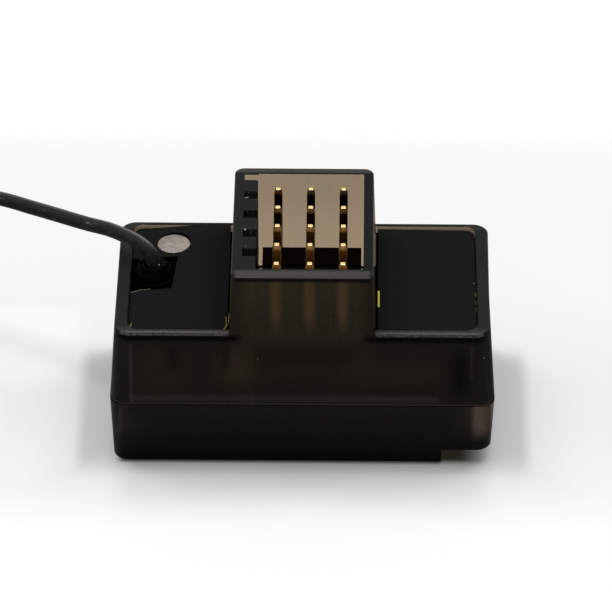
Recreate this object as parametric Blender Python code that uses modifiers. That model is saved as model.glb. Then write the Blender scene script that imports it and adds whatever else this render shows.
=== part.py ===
"""Small radio-control receiver: two smoked plastic shells round a circuit board.

The upper shell carries a tower with an open servo connector, five rows of three
square pins, and two shoulders with a label in a shallow pocket. A thin antenna
cable leaves a rubber collar in the left pocket. +Z is up, the long front wall
faces -Y, and the origin is the middle of the underside.
"""

import math

import bmesh
import bpy
from mathutils import Vector

MM = 0.001

# Running gap between neighbouring pieces, and the closer fits of the fine ones
GAP = 0.3 * MM
PIN_FIT = 0.1 * MM
LENS_FIT = 0.2 * MM
NECK_FIT = 0.15 * MM
CABLE_FIT = 0.1 * MM

# Servo connector
PITCH = 2.54 * MM
ROWS = 5
COLUMNS = 3
PIN_SIDE = 0.64 * MM
PIN_TIP = 0.4 * MM
PIN_TIP_SIDE = 0.42 * MM
PIN_BELOW_RIM = 0.44 * MM
PIN_TAIL = 0.8 * MM
HEADER_HEIGHT = 2.0 * MM
HEADER_SHRINK = 0.13 * MM
HEADER_NOTCH = (0.35 * MM, 0.44 * MM)
HEADER_GROOVE = (0.2 * MM, 0.12 * MM)
WELL_FIT_X = 0.31 * MM
WELL_FIT_Y = 0.2 * MM
KEY_WIDTH = 1.0 * MM
KEY_DEPTH = 1.05 * MM
KEY_OFFSET = 0.935 * MM

# Tower walls round the well, and the shoulders beside them
TOWER_LEFT_WALL = 1.82 * MM
TOWER_RIGHT_WALL = 0.755 * MM
TOWER_FRONT_WALL = 0.82 * MM
TOWER_BACK_WALL = 0.715 * MM
TOWER_RISE = 5.29 * MM
TOWER_DRAFT = 0.035
TOWER_CORNER = 0.75 * MM
TOWER_SETBACK = 0.03 * MM
TOWER_FLUSH_DROP = 0.21 * MM
SHOULDER_LENGTH = 8.8 * MM
SHOULDER_RISE = 6.43 * MM
SHOULDER_DRAFT = 0.065
CASE_CORNER = 1.2 * MM
RIM_FILLET = 0.16 * MM
WALL = 0.8 * MM
ROOF = 0.75 * MM

# Lower shell
BASE_HEIGHT = 5.42 * MM
BASE_DRAFT = 0.046
BASE_WALL = 1.2 * MM
BASE_FLOOR = 0.9 * MM
BASE_FILLET = 0.22 * MM
STEP_LENGTH = 3.8 * MM
STEP_HEIGHT = 1.2 * MM

# Lap joint at the seam: the upper skirt overlaps the lower tongue
SKIRT_WALL = 0.4 * MM
LAP_FIT = 0.2 * MM
LAP_HEIGHT = 0.9 * MM

# Labels in their pockets
POCKET_DEPTH = 0.62 * MM
POCKET_SIDE_RIM = 1.0 * MM
POCKET_FRONT_RIM = 0.65 * MM
POCKET_BACK_RIM = 0.4 * MM
POCKET_CORNER = 0.9 * MM
LABEL_THICKNESS = 0.15 * MM
LABEL_GLUE = 0.1 * MM
LABEL_FIT = 0.2 * MM
LABEL_NOTCH_REACH = 1.75 * MM
LABEL_NOTCH_FRONT = 2.7 * MM
LABEL_NOTCH_BACK = 1.8 * MM

# Status light, set in from the left end of the shoulder
LENS_INSET = 4.193 * MM
LENS_Y = 5.03 * MM
LENS_DIAMETER = 2.53 * MM
LENS_FLANGE_DIAMETER = 3.0 * MM
LENS_FLANGE = 0.5 * MM
LED_SIZE = (1.6 * MM, 0.8 * MM, 0.6 * MM)

# Antenna, its collar set in from the left end of the shoulder
COLLAR_INSET = 2.793 * MM
COLLAR_Y = 0.95 * MM
COLLAR_DIAMETER = 2.9 * MM
COLLAR_RISE = 1.2 * MM
COLLAR_ROUND = 0.7 * MM
COLLAR_NECK_DIAMETER = 1.9 * MM
COLLAR_FLANGE_DIAMETER = 2.8 * MM
COLLAR_FLANGE = 0.5 * MM
CABLE_DIAMETER = 1.13 * MM
WHIP_DIAMETER = 0.68 * MM
WHIP_LENGTH = 31.0 * MM
COIL_OFFSET = (-22.0 * MM, 5.55 * MM)
COIL_DIAMETER = 12.6 * MM
CABLE_STEP = 2.0

# Cable centreline from the collar to the top of the coil: millimetres from the
# collar along X and Y, and the height as a share of the collar mouth's height
CABLE_ROUTE = (
    (0.0, 0.0, 1.0257),
    (-0.4, 0.35, 1.0740),
    (-1.0, 0.75, 1.1022),
    (-1.8, 1.35, 1.1142),
    (-3.5, 2.85, 1.0981),
    (-5.4, 4.25, 1.0660),
    (-7.5, 5.65, 1.0459),
    (-9.9, 7.05, 1.0338),
    (-12.4, 8.45, 1.0217),
    (-15.4, 9.85, 0.9895),
    (-18.4, 10.95, 0.9171),
    (-21.6, 11.65, 0.7804),
    (-24.6, 11.55, 0.5873),
    (-27.0, 10.35, 0.4023),
    (-28.15, 8.45, 0.2816),
    (-28.3, 6.65, 0.2414),
)

# Cable inside the case: straight down through the board, then a loop to its pad
TAIL_REACH = 4.0 * MM
TAIL_DROP = 1.75 * MM

# Circuit board and what is soldered to it. A place is the distance outwards from
# the middle of the shoulder's hollow, and y; a size is along x, y and z
BOARD_RISE = 1.48 * MM
BOARD_THICKNESS = 1.0 * MM
BOARD_CORNER = 0.8 * MM
PIN_HOLE_DIAMETER = 1.0 * MM
POST_SIDE = 1.5 * MM
POST_INSET = 1.0 * MM
SHIELD_PLACE = (-1.1 * MM, -2.5 * MM)
SHIELD_SIZE = (5.8 * MM, 4.2 * MM, 1.6 * MM)
SHIELD_SHEET = 0.25 * MM
RF_CHIP_ROOM = (0.8 * MM, 0.35 * MM, 0.55 * MM)
PROCESSOR_PLACE = (0.0, 1.2 * MM)
PROCESSOR_SIZE = (5.0 * MM, 5.0 * MM, 0.9 * MM)
LEG_COUNT = 10
LEG_PITCH = 0.45 * MM
LEG_WIDTH = 0.2 * MM
LEG_SHEET = 0.14 * MM
LEG_RISE = 0.5 * MM
LEG_REACH = 0.75 * MM
CRYSTAL_PLACE = (-0.8 * MM, -4.1 * MM)
CRYSTAL_SIZE = (3.2 * MM, 2.5 * MM, 0.8 * MM)
REGULATOR_PLACE = (-0.4 * MM, -2.6 * MM)
REGULATOR_SIZE = (4.6 * MM, 3.0 * MM, 1.6 * MM)
REGULATOR_TAB = (2.0 * MM, 1.2 * MM, 0.4 * MM)
TANTALUM_PLACE = (-0.2 * MM, 3.2 * MM)
TANTALUM_SIZE = (3.5 * MM, 2.6 * MM, 1.9 * MM)
CAPACITOR_PLACE = (-2.0 * MM, -0.4 * MM)
CAPACITOR_DIAMETER = 4.0 * MM
CAPACITOR_FOOT = (4.3 * MM, 4.3 * MM, 0.7 * MM)
CAPACITOR_FILLET = 0.3 * MM
ARRAY_PLACE = (-2.0 * MM, 4.4 * MM)
ARRAY_SIZE = (3.2 * MM, 1.6 * MM, 0.5 * MM)
CHIP_EDGE = 0.12 * MM

# Heights that follow from the sizes above
SEAM_Z = BASE_HEIGHT
SHOULDER_Z = SEAM_Z + SHOULDER_RISE
RIM_Z = SHOULDER_Z + TOWER_RISE
POCKET_Z = SHOULDER_Z - POCKET_DEPTH
CEILING_Z = POCKET_Z - ROOF
BOARD_Z = SEAM_Z + BOARD_RISE
BOARD_TOP_Z = BOARD_Z + BOARD_THICKNESS
SOLDER_Z = BOARD_TOP_Z + GAP
HEADER_TOP_Z = SOLDER_Z + HEADER_HEIGHT
LABEL_Z = POCKET_Z + LABEL_GLUE
LABEL_TOP_Z = LABEL_Z + LABEL_THICKNESS
MOUTH_Z = POCKET_Z + COLLAR_RISE
RAISED_FLOOR_Z = STEP_HEIGHT + BASE_FLOOR

# Plan sizes that follow: half lengths along X and Y
HEADER_HALF = (
    COLUMNS * PITCH / 2,
    (ROWS * PITCH - HEADER_SHRINK) / 2,
)
WELL_HALF = (HEADER_HALF[0] + WELL_FIT_X, HEADER_HALF[1] + WELL_FIT_Y)
CONNECTOR_X = (TOWER_LEFT_WALL - TOWER_RIGHT_WALL) / 2
CONNECTOR_Y = (TOWER_FRONT_WALL - TOWER_BACK_WALL) / 2
TOWER_RIM = (
    WELL_HALF[0] + (TOWER_LEFT_WALL + TOWER_RIGHT_WALL) / 2,
    WELL_HALF[1] + (TOWER_FRONT_WALL + TOWER_BACK_WALL) / 2,
)


def grown(half, amount):
    """Half sizes of a plan outline moved outwards by an amount on every side."""
    return (half[0] + amount, half[1] + amount)


TOWER_FOOT = grown(TOWER_RIM, TOWER_DRAFT * TOWER_RISE)
SHOULDER_TOP = (
    TOWER_FOOT[0] + SHOULDER_LENGTH,
    TOWER_FOOT[1] + TOWER_SETBACK,
)


def upper_half(z, inset=0.0):
    """Half sizes of the drafted upper shell at a height, or of a line inside it."""
    return grown(SHOULDER_TOP, SHOULDER_DRAFT * (SHOULDER_Z - z) - inset)


def lower_half(z, inset=0.0):
    """Half sizes of the drafted lower shell at a height, or of a line inside it."""
    return grown(upper_half(SEAM_Z), BASE_DRAFT * (z - SEAM_Z) - inset)


BOARD_HALF = upper_half(BOARD_TOP_Z, WALL + GAP)
CAVITY_SIDE = TOWER_FOOT[0]
POST_X = BOARD_HALF[0] - POST_INSET
POST_Y = BOARD_HALF[1] - POST_INSET
STEP_X = lower_half(0)[0] - STEP_LENGTH
LENS_X = LENS_INSET - SHOULDER_TOP[0]
COLLAR_X = COLLAR_INSET - SHOULDER_TOP[0]
COIL_CENTRE = (COLLAR_X + COIL_OFFSET[0], COLLAR_Y + COIL_OFFSET[1])
BAY_X = TOWER_FOOT[0] + (SHOULDER_LENGTH - WALL) / 2

# Mesh resolution
CORNER_STEPS = 5
FILLET_STEPS = 2
ROUND_STEPS = 32
SMALL_ROUND_STEPS = 12
SMOOTH_ANGLE = 50.0
MORE = 1.0 * MM


def in_bay(side, place):
    """A board component's x and y, its place given outwards from the bay's middle."""
    return (side * (BAY_X + place[0]), place[1])


def clear_scene():
    """Removes whatever the scene holds."""
    for ob in list(bpy.context.scene.objects):
        bpy.data.objects.remove(ob, do_unlink=True)


def new_collection(name):
    """A new collection under the scene's own."""
    made = bpy.data.collections.new(name)
    bpy.context.scene.collection.children.link(made)
    return made


class Model:
    """The receiver's collections, its parent empty and its materials."""

    def __init__(self):
        self.parts = new_collection("rc_receiver")
        self.cutters = new_collection("rc_receiver_cutters")
        self.root = bpy.data.objects.new("rc_receiver", None)
        self.parts.objects.link(self.root)
        self.materials = {}

    def material(self, name, colour, roughness, metallic=0.0):
        """A plain Principled material, made once for each name."""
        if name not in self.materials:
            mat = bpy.data.materials.new(name)
            mat.use_nodes = True
            shader = mat.node_tree.nodes["Principled BSDF"]
            shader.inputs["Base Color"].default_value = (*colour, 1.0)
            shader.inputs["Roughness"].default_value = roughness
            shader.inputs["Metallic"].default_value = metallic
            mat.diffuse_color = (*colour, 1.0)
            self.materials[name] = mat
        return self.materials[name]

    def part(self, name, data, mat, place=(0.0, 0.0, 0.0)):
        """Adds a named sub-part at its place under the receiver's empty."""
        ob = bpy.data.objects.new(name, data)
        ob.location = place
        ob.parent = self.root
        if not data.materials:
            data.materials.append(mat)
        self.parts.objects.link(ob)
        return ob

    def cutter(self, name, data, place=(0.0, 0.0, 0.0)):
        """Adds a solid that only cuts or joins others."""
        ob = bpy.data.objects.new(name, data)
        ob.location = place
        ob.hide_render = True
        ob.display_type = "WIRE"
        self.cutters.objects.link(ob)
        return ob


def to_mesh(name, bm):
    """Finishes a bmesh as a mesh, smooth across its rounded stretches."""
    data = bpy.data.meshes.new(name)
    bmesh.ops.recalc_face_normals(bm, faces=bm.faces)
    bm.to_mesh(data)
    bm.free()
    data.shade_smooth()
    data.set_sharp_from_angle(angle=math.radians(SMOOTH_ANGLE))
    return data


def round_edges(bm, edges, radius, steps):
    """Rounds the given edges."""
    bmesh.ops.bevel(
        bm,
        geom=edges,
        offset=radius,
        segments=steps,
        profile=0.5,
        affect="EDGES",
    )


def drafted_block(
    name, foot, top, z0, z1, corner=0.0, top_fillet=0.0, foot_fillet=0.0, steps=CORNER_STEPS
):
    """A block between two heights whose half sizes change from foot to top.

    Its upright corners get one radius and the rims at its ends another.
    """
    bm = bmesh.new()
    bmesh.ops.create_cube(bm, size=2.0)
    for v in bm.verts:
        half = top if v.co.z > 0 else foot
        z = z1 if v.co.z > 0 else z0
        v.co = Vector((v.co.x * half[0], v.co.y * half[1], z))
    if corner:
        upright = [e for e in bm.edges if abs(e.verts[0].co.z - e.verts[1].co.z) > (z1 - z0) / 2]
        round_edges(bm, upright, corner, steps)
    for fillet, z in ((top_fillet, z1), (foot_fillet, z0)):
        if fillet:
            rim = [e for e in bm.edges if all(abs(v.co.z - z) < 1e-7 for v in e.verts)]
            round_edges(bm, rim, fillet, FILLET_STEPS)
    return to_mesh(name, bm)


def box(name, x0, x1, y0, y1, z0, z1):
    """A plain box between six planes."""
    bm = bmesh.new()
    bmesh.ops.create_cube(bm, size=1.0)
    for v in bm.verts:
        v.co = Vector(
            (
                x1 if v.co.x > 0 else x0,
                y1 if v.co.y > 0 else y0,
                z1 if v.co.z > 0 else z0,
            )
        )
    return to_mesh(name, bm)


def chip_body(name, size, edge=CHIP_EDGE):
    """A moulded component body that stands on z = 0, with its upper edges eased."""
    half = (size[0] / 2, size[1] / 2)
    return drafted_block(name, half, half, 0.0, size[2], top_fillet=edge)


def cylinder(name, diameter, z0, z1, steps=ROUND_STEPS):
    """An upright cylinder round the local origin."""
    bm = bmesh.new()
    bmesh.ops.create_cone(
        bm,
        cap_ends=True,
        segments=steps,
        radius1=diameter / 2,
        radius2=diameter / 2,
        depth=z1 - z0,
    )
    bmesh.ops.translate(bm, verts=bm.verts, vec=(0.0, 0.0, (z0 + z1) / 2))
    return to_mesh(name, bm)


def outline_mesh(name, points, closed=False):
    """An open or closed line of vertices in the XZ plane, for a Screw modifier."""
    bm = bmesh.new()
    verts = [bm.verts.new((x, 0.0, z)) for x, z in points]
    for a, b in zip(verts, verts[1:]):
        bm.edges.new((a, b))
    if closed:
        bm.edges.new((verts[-1], verts[0]))
    data = bpy.data.meshes.new(name)
    bm.to_mesh(data)
    bm.free()
    return data


def turn(ob, steps=ROUND_STEPS):
    """Turns an outline round Z into a closed smooth solid."""
    mod = ob.modifiers.new("turned", "SCREW")
    mod.steps = steps
    mod.render_steps = steps
    mod.use_merge_vertices = True
    mod.merge_threshold = 0.00001
    mod.use_smooth_shade = True


def arc(centre, radius, start, end, steps):
    """Points along an arc in the XZ plane, angles in degrees."""
    points = []
    for i in range(steps + 1):
        a = math.radians(start + (end - start) * i / steps)
        points.append((centre[0] + radius * math.cos(a), centre[1] + radius * math.sin(a)))
    return points


def boolean(ob, other, operation="DIFFERENCE"):
    """Cuts a solid with another, or joins it."""
    mod = ob.modifiers.new(other.name, "BOOLEAN")
    mod.operation = operation
    mod.object = other
    mod.solver = "EXACT"


def repeat(ob, count, step):
    """Repeats an object along a constant step."""
    mod = ob.modifiers.new("row", "ARRAY")
    mod.use_relative_offset = False
    mod.use_constant_offset = True
    mod.constant_offset_displace = step
    mod.count = count
    mod.use_merge_vertices = False


def smooth_line(route, spacing):
    """Evenly spaced points on a smooth curve through the route's own points."""
    knots = [Vector(p) for p in route]
    knots = [2 * knots[0] - knots[1], *knots, 2 * knots[-1] - knots[-2]]
    fine = []
    pieces = 16
    for a, b, c, d in zip(knots, knots[1:], knots[2:], knots[3:]):
        for i in range(pieces):
            t = i / pieces
            fine.append(
                0.5
                * (
                    2 * b
                    + (c - a) * t
                    + (2 * a - 5 * b + 4 * c - d) * t**2
                    + (3 * b - a - 3 * c + d) * t**3
                )
            )
    fine.append(knots[-2])
    length = sum((b - a).length for a, b in zip(fine, fine[1:]))
    count = max(2, round(length / spacing))
    points = [fine[0]]
    walked = 0.0
    for a, b in zip(fine, fine[1:]):
        run = (b - a).length
        while len(points) < count and walked + run >= length * len(points) / count:
            points.append(a.lerp(b, (length * len(points) / count - walked) / run))
        walked += run
    points.append(fine[-1])
    return points


def tube(name, points, diameter):
    """A round cable along a line of points, as a curve object's data."""
    data = bpy.data.curves.new(name, "CURVE")
    data.dimensions = "3D"
    data.bevel_depth = diameter / 2
    data.bevel_resolution = 2
    data.use_fill_caps = True
    spline = data.splines.new("POLY")
    spline.points.add(len(points) - 1)
    for point, co in zip(spline.points, points):
        point.co = (*co, 1.0)
    return data


def tower_guide(model):
    """The connector tower, its front and back running into the case's long walls."""
    root_z = SHOULDER_Z - POCKET_DEPTH - ROOF / 2
    flush_z = SHOULDER_Z - TOWER_FLUSH_DROP
    lean = (upper_half(flush_z)[1] - TOWER_RIM[1]) / (RIM_Z - flush_z)
    foot = (
        TOWER_FOOT[0] + TOWER_DRAFT * (SHOULDER_Z - root_z),
        TOWER_RIM[1] + lean * (RIM_Z - root_z),
    )
    data = drafted_block(
        "tower_guide",
        foot,
        TOWER_RIM,
        root_z,
        RIM_Z,
        corner=TOWER_CORNER,
        top_fillet=RIM_FILLET,
    )
    return model.cutter("tower_guide", data)


def pocket_cutter(model):
    """One sunken floor for both labels, which the tower then stands on."""
    x = SHOULDER_TOP[0] - POCKET_SIDE_RIM
    y0 = -SHOULDER_TOP[1] + POCKET_FRONT_RIM
    y1 = SHOULDER_TOP[1] - POCKET_BACK_RIM
    half = (x, (y1 - y0) / 2)
    data = drafted_block(
        "pocket_cutter", half, half, POCKET_Z, SHOULDER_Z + MORE, corner=POCKET_CORNER
    )
    return model.cutter("pocket_cutter", data, (0.0, (y0 + y1) / 2, 0.0))


def cavity_cutters(model):
    """The hollow under both shoulders, and the one below the connector's walls."""
    z0 = SEAM_Z - MORE
    corner = CASE_CORNER - WALL
    low = drafted_block(
        "cavity_cutter", upper_half(z0, WALL), upper_half(SOLDER_Z, WALL), z0, SOLDER_Z, corner
    )
    cutters = [model.cutter("cavity_cutter", low)]
    outer = upper_half(SOLDER_Z, WALL)
    inner = upper_half(CEILING_Z, WALL)
    for side, sign in (("left", -1), ("right", 1)):
        name = f"{side}_cavity_cutter"
        foot = ((outer[0] - CAVITY_SIDE) / 2, outer[1])
        top = ((inner[0] - CAVITY_SIDE) / 2, inner[1])
        data = drafted_block(name, foot, top, SOLDER_Z - MORE / 2, CEILING_Z, corner)
        place = (sign * (CAVITY_SIDE + (outer[0] - CAVITY_SIDE) / 2), 0.0, 0.0)
        cutters.append(model.cutter(name, data, place))
    return cutters


def well_cutters(model):
    """The connector well, open right through, and the key slots in its left wall."""
    well = box(
        "well_cutter",
        CONNECTOR_X - WELL_HALF[0],
        CONNECTOR_X + WELL_HALF[0],
        CONNECTOR_Y - WELL_HALF[1],
        CONNECTOR_Y + WELL_HALF[1],
        SOLDER_Z - MORE,
        RIM_Z + MORE,
    )
    first_row = CONNECTOR_Y - (ROWS - 1) / 2 * PITCH + KEY_OFFSET
    wall_x = CONNECTOR_X - WELL_HALF[0]
    key = box(
        "key_cutter",
        wall_x - KEY_DEPTH,
        wall_x + KEY_DEPTH,
        first_row - KEY_WIDTH / 2,
        first_row + KEY_WIDTH / 2,
        HEADER_TOP_Z,
        RIM_Z + MORE,
    )
    keys = model.cutter("key_cutter", key)
    repeat(keys, ROWS, (0.0, PITCH, 0.0))
    return [model.cutter("well_cutter", well), keys]


def post_guides(model, name, z0, z1):
    """Four square posts over or under the board's corners."""
    half = (POST_SIDE / 2, POST_SIDE / 2)
    guides = []
    for i, (sx, sy) in enumerate(((-1, -1), (1, -1), (1, 1), (-1, 1))):
        data = drafted_block(f"{name}_{i}", half, half, z0, z1)
        guides.append(model.cutter(f"{name}_{i}", data, (sx * POST_X, sy * POST_Y, 0.0)))
    return guides


def upper_case(model):
    """The upper shell: shoulders, pockets, tower, well, hollow, posts and skirt."""
    z0 = SEAM_Z + GAP / 2
    smoke = model.material("smoked_plastic", (0.035, 0.028, 0.02), 0.35)
    data = drafted_block(
        "upper_case",
        upper_half(z0),
        SHOULDER_TOP,
        z0,
        SHOULDER_Z,
        corner=CASE_CORNER,
        top_fillet=RIM_FILLET,
    )
    ob = model.part("upper_case", data, smoke)
    boolean(ob, pocket_cutter(model))
    boolean(ob, tower_guide(model), "UNION")
    for cutter in cavity_cutters(model):
        boolean(ob, cutter)
    for cutter in well_cutters(model):
        boolean(ob, cutter)
    for guide in post_guides(model, "upper_post", SOLDER_Z, CEILING_Z + ROOF / 2):
        boolean(ob, guide, "UNION")
    skirt_top = SEAM_Z + LAP_HEIGHT
    lap = drafted_block(
        "lap_cutter",
        upper_half(SEAM_Z - MORE, SKIRT_WALL),
        upper_half(skirt_top, SKIRT_WALL),
        SEAM_Z - MORE,
        skirt_top,
        corner=CASE_CORNER - SKIRT_WALL,
    )
    boolean(ob, model.cutter("lap_cutter", lap))
    for name, x, y, diameter in (
        ("lens_hole_cutter", LENS_X, LENS_Y, LENS_DIAMETER + 2 * LENS_FIT),
        ("neck_hole_cutter", COLLAR_X, COLLAR_Y, COLLAR_NECK_DIAMETER + 2 * NECK_FIT),
    ):
        hole = cylinder(name, diameter, CEILING_Z - MORE, POCKET_Z + MORE)
        boolean(ob, model.cutter(name, hole, (x, y, 0.0)))


def lower_case(model):
    """The tray: floor, walls, raised step at the right end, posts and tongue."""
    z1 = SEAM_Z - GAP / 2
    smoke = model.material("smoked_plastic", (0.035, 0.028, 0.02), 0.35)
    data = drafted_block(
        "lower_case",
        lower_half(0.0),
        lower_half(z1),
        0.0,
        z1,
        corner=CASE_CORNER,
        foot_fillet=BASE_FILLET,
    )
    ob = model.part("lower_case", data, smoke)
    tongue_inset = SKIRT_WALL + LAP_FIT
    tongue_top = SEAM_Z + LAP_HEIGHT - GAP
    tongue = drafted_block(
        "tongue_guide",
        lower_half(SEAM_Z - MORE, tongue_inset),
        upper_half(tongue_top, tongue_inset),
        SEAM_Z - MORE,
        tongue_top,
        corner=CASE_CORNER - tongue_inset,
    )
    boolean(ob, model.cutter("tongue_guide", tongue), "UNION")
    corner = CASE_CORNER - BASE_WALL / 2
    tray = drafted_block(
        "tray_cutter",
        lower_half(RAISED_FLOOR_Z, BASE_WALL),
        lower_half(SEAM_Z + MORE, BASE_WALL),
        RAISED_FLOOR_Z,
        SEAM_Z + MORE,
        corner=corner,
    )
    boolean(ob, model.cutter("tray_cutter", tray))
    half = lower_half(BASE_FLOOR, BASE_WALL)
    x1 = STEP_X - BASE_WALL
    deep_half = ((x1 + half[0]) / 2, half[1])
    deep = drafted_block(
        "deep_tray_cutter", deep_half, deep_half, BASE_FLOOR, RAISED_FLOOR_Z + MORE, corner=corner
    )
    boolean(ob, model.cutter("deep_tray_cutter", deep, ((x1 - half[0]) / 2, 0.0, 0.0)))
    for guide in post_guides(model, "lower_post", BASE_FLOOR / 2, BOARD_Z - GAP):
        boolean(ob, guide, "UNION")
    reach = lower_half(0.0)[1] + MORE
    step = box(
        "step_cutter", STEP_X, STEP_X + STEP_LENGTH + MORE, -reach, reach, -MORE, STEP_HEIGHT
    )
    boolean(ob, model.cutter("step_cutter", step))


def pin_centres():
    """Column and row numbers of every pin with its centre."""
    for row in range(ROWS):
        for column in range(COLUMNS):
            x = CONNECTOR_X + (column - (COLUMNS - 1) / 2) * PITCH
            y = CONNECTOR_Y + (row - (ROWS - 1) / 2) * PITCH
            yield column, row, x, y


def pin_mesh(name, height):
    """A square pin that stands on z = 0, with a small pyramid cut off at each end."""
    bm = bmesh.new()
    bmesh.ops.create_cube(bm, size=1.0)
    for v in bm.verts:
        z = height - PIN_TIP if v.co.z > 0 else PIN_TIP
        v.co = Vector((v.co.x * PIN_SIDE, v.co.y * PIN_SIDE, z))
    for sign in (1, -1):
        end = max(bm.faces, key=lambda f: sign * f.calc_center_median().z)
        made = bmesh.ops.extrude_discrete_faces(bm, faces=[end])["faces"][0]
        for v in made.verts:
            v.co.x *= PIN_TIP_SIDE / PIN_SIDE
            v.co.y *= PIN_TIP_SIDE / PIN_SIDE
            v.co.z += sign * PIN_TIP
    return to_mesh(name, bm)


def pins(model):
    """The gold pins, named by what each column carries."""
    gold = model.material("gold_plate", (0.85, 0.6, 0.25), 0.25, 1.0)
    foot = BOARD_Z - PIN_TAIL
    data = pin_mesh("pin", RIM_Z - PIN_BELOW_RIM - foot)
    roles = ("signal", "supply", "ground")
    for column, row, x, y in pin_centres():
        role = roles[column] if column < len(roles) else f"spare{column}"
        model.part(f"{role}_pin_{row + 1}", data, gold, (x, y, foot))


def pin_holes(model, name, data):
    """A cutter for every pin, repeated along the columns and the rows."""
    x = CONNECTOR_X - (COLUMNS - 1) / 2 * PITCH
    y = CONNECTOR_Y - (ROWS - 1) / 2 * PITCH
    ob = model.cutter(name, data, (x, y, 0.0))
    repeat(ob, COLUMNS, (PITCH, 0.0, 0.0))
    repeat(ob, ROWS, (0.0, PITCH, 0.0))
    return ob


def header_base(model):
    """The black strip that holds the pins at the bottom of the well."""
    black = model.material("black_nylon", (0.01, 0.01, 0.01), 0.5)
    data = drafted_block("header_base", HEADER_HALF, HEADER_HALF, SOLDER_Z, HEADER_TOP_Z)
    ob = model.part("header_base", data, black, (CONNECTOR_X, CONNECTOR_Y, 0.0))
    side = PIN_SIDE / 2 + PIN_FIT
    hole = box("header_hole_cutter", -side, side, -side, side, SOLDER_Z - MORE, RIM_Z)
    boolean(ob, pin_holes(model, "header_hole_cutter", hole))
    first_gap = CONNECTOR_Y - (ROWS / 2 - 1) * PITCH
    z0, z1 = SOLDER_Z - MORE, HEADER_TOP_Z + MORE
    depth, half = HEADER_NOTCH[0], HEADER_NOTCH[1] / 2
    notch = box("header_notch_cutter", -depth, depth, -half, half, z0, z1)
    edge = CONNECTOR_X - HEADER_HALF[0]
    notches = model.cutter("header_notch_cutter", notch, (edge, first_gap, 0.0))
    repeat(notches, 2, (2 * HEADER_HALF[0], 0.0, 0.0))
    half, floor = HEADER_GROOVE[0] / 2, HEADER_TOP_Z - HEADER_GROOVE[1]
    reach = HEADER_HALF[0] + MORE
    groove = box("header_groove_cutter", -reach, reach, -half, half, floor, z1)
    grooves = model.cutter("header_groove_cutter", groove, (CONNECTOR_X, first_gap, 0.0))
    for cutter in (notches, grooves):
        repeat(cutter, ROWS - 1, (0.0, PITCH, 0.0))
        boolean(ob, cutter)


def main_board(model):
    """The circuit board, with a hole for each pin."""
    green = model.material("circuit_board", (0.02, 0.09, 0.04), 0.45)
    data = drafted_block(
        "main_board", BOARD_HALF, BOARD_HALF, BOARD_Z, BOARD_TOP_Z, corner=BOARD_CORNER, steps=3
    )
    ob = model.part("main_board", data, green)
    hole = cylinder(
        "board_hole_cutter",
        PIN_HOLE_DIAMETER + 2 * PIN_FIT,
        BOARD_Z - MORE,
        BOARD_TOP_Z + MORE,
        SMALL_ROUND_STEPS,
    )
    boolean(ob, pin_holes(model, "board_hole_cutter", hole))
    passage = cylinder(
        "tail_hole_cutter",
        CABLE_DIAMETER + 2 * GAP,
        BOARD_Z - MORE,
        BOARD_TOP_Z + MORE,
        SMALL_ROUND_STEPS,
    )
    boolean(ob, model.cutter("tail_hole_cutter", passage, (COLLAR_X, COLLAR_Y, 0.0)))


def leg_mesh(name):
    """A bent chip leg, rooted in the body at y = 0, that runs out and down to z = 0."""
    top, sheet = LEG_RISE, LEG_SHEET
    knee = LEG_REACH * 0.35
    shin = LEG_REACH * 0.55
    line = [
        (-2 * sheet, top),
        (knee, top),
        (shin, sheet),
        (LEG_REACH, sheet),
        (LEG_REACH, 0.0),
        (shin - sheet, 0.0),
        (knee - sheet, top - sheet),
        (-2 * sheet, top - sheet),
    ]
    bm = bmesh.new()
    face = bm.faces.new([bm.verts.new((-LEG_WIDTH / 2, y, z)) for y, z in line])
    made = bmesh.ops.extrude_face_region(bm, geom=[face])["geom"]
    moved = [v for v in made if isinstance(v, bmesh.types.BMVert)]
    bmesh.ops.translate(bm, verts=moved, vec=(LEG_WIDTH, 0.0, 0.0))
    return to_mesh(name, bm)


def add_legs(model, chip, place):
    """Joins a row of legs to each long side of the processor."""
    data = leg_mesh("chip_leg")
    start = (LEG_COUNT - 1) / 2 * LEG_PITCH
    for side in (-1, 1):
        y = place[1] + side * PROCESSOR_SIZE[1] / 2
        legs = model.cutter(f"chip_leg_{side}", data, (place[0] - side * start, y, SOLDER_Z))
        if side < 0:
            legs.rotation_euler = (0.0, 0.0, math.pi)
        repeat(legs, LEG_COUNT, (LEG_PITCH, 0.0, 0.0))
        boolean(chip, legs, "UNION")


def board_top_components(model):
    """The voltage regulator with its tab, the processor, the crystal and the light."""
    tin = model.material("tinned_steel", (0.6, 0.6, 0.58), 0.35, 1.0)
    black = model.material("component_black", (0.02, 0.02, 0.022), 0.55)
    white = model.material("led_body", (0.8, 0.78, 0.7), 0.4)
    place = (*in_bay(-1, REGULATOR_PLACE), SOLDER_Z)
    body = chip_body("voltage_regulator", REGULATOR_SIZE)
    regulator = model.part("voltage_regulator", body, black, place)
    tab_half = (REGULATOR_TAB[0] / 2, REGULATOR_SIZE[1] / 2 + REGULATOR_TAB[1])
    tab = drafted_block("regulator_tab_guide", tab_half, tab_half, 0.0, REGULATOR_TAB[2])
    boolean(regulator, model.cutter("regulator_tab_guide", tab, place), "UNION")
    place = in_bay(1, PROCESSOR_PLACE)
    body = chip_body("microcontroller", PROCESSOR_SIZE)
    add_legs(model, model.part("microcontroller", body, black, (*place, SOLDER_Z)), place)
    for name, place, size, mat in (
        ("crystal", in_bay(1, CRYSTAL_PLACE), CRYSTAL_SIZE, tin),
        ("status_led", (LENS_X, LENS_Y), LED_SIZE, white),
    ):
        model.part(name, chip_body(name, size), mat, (*place, SOLDER_Z))


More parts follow.
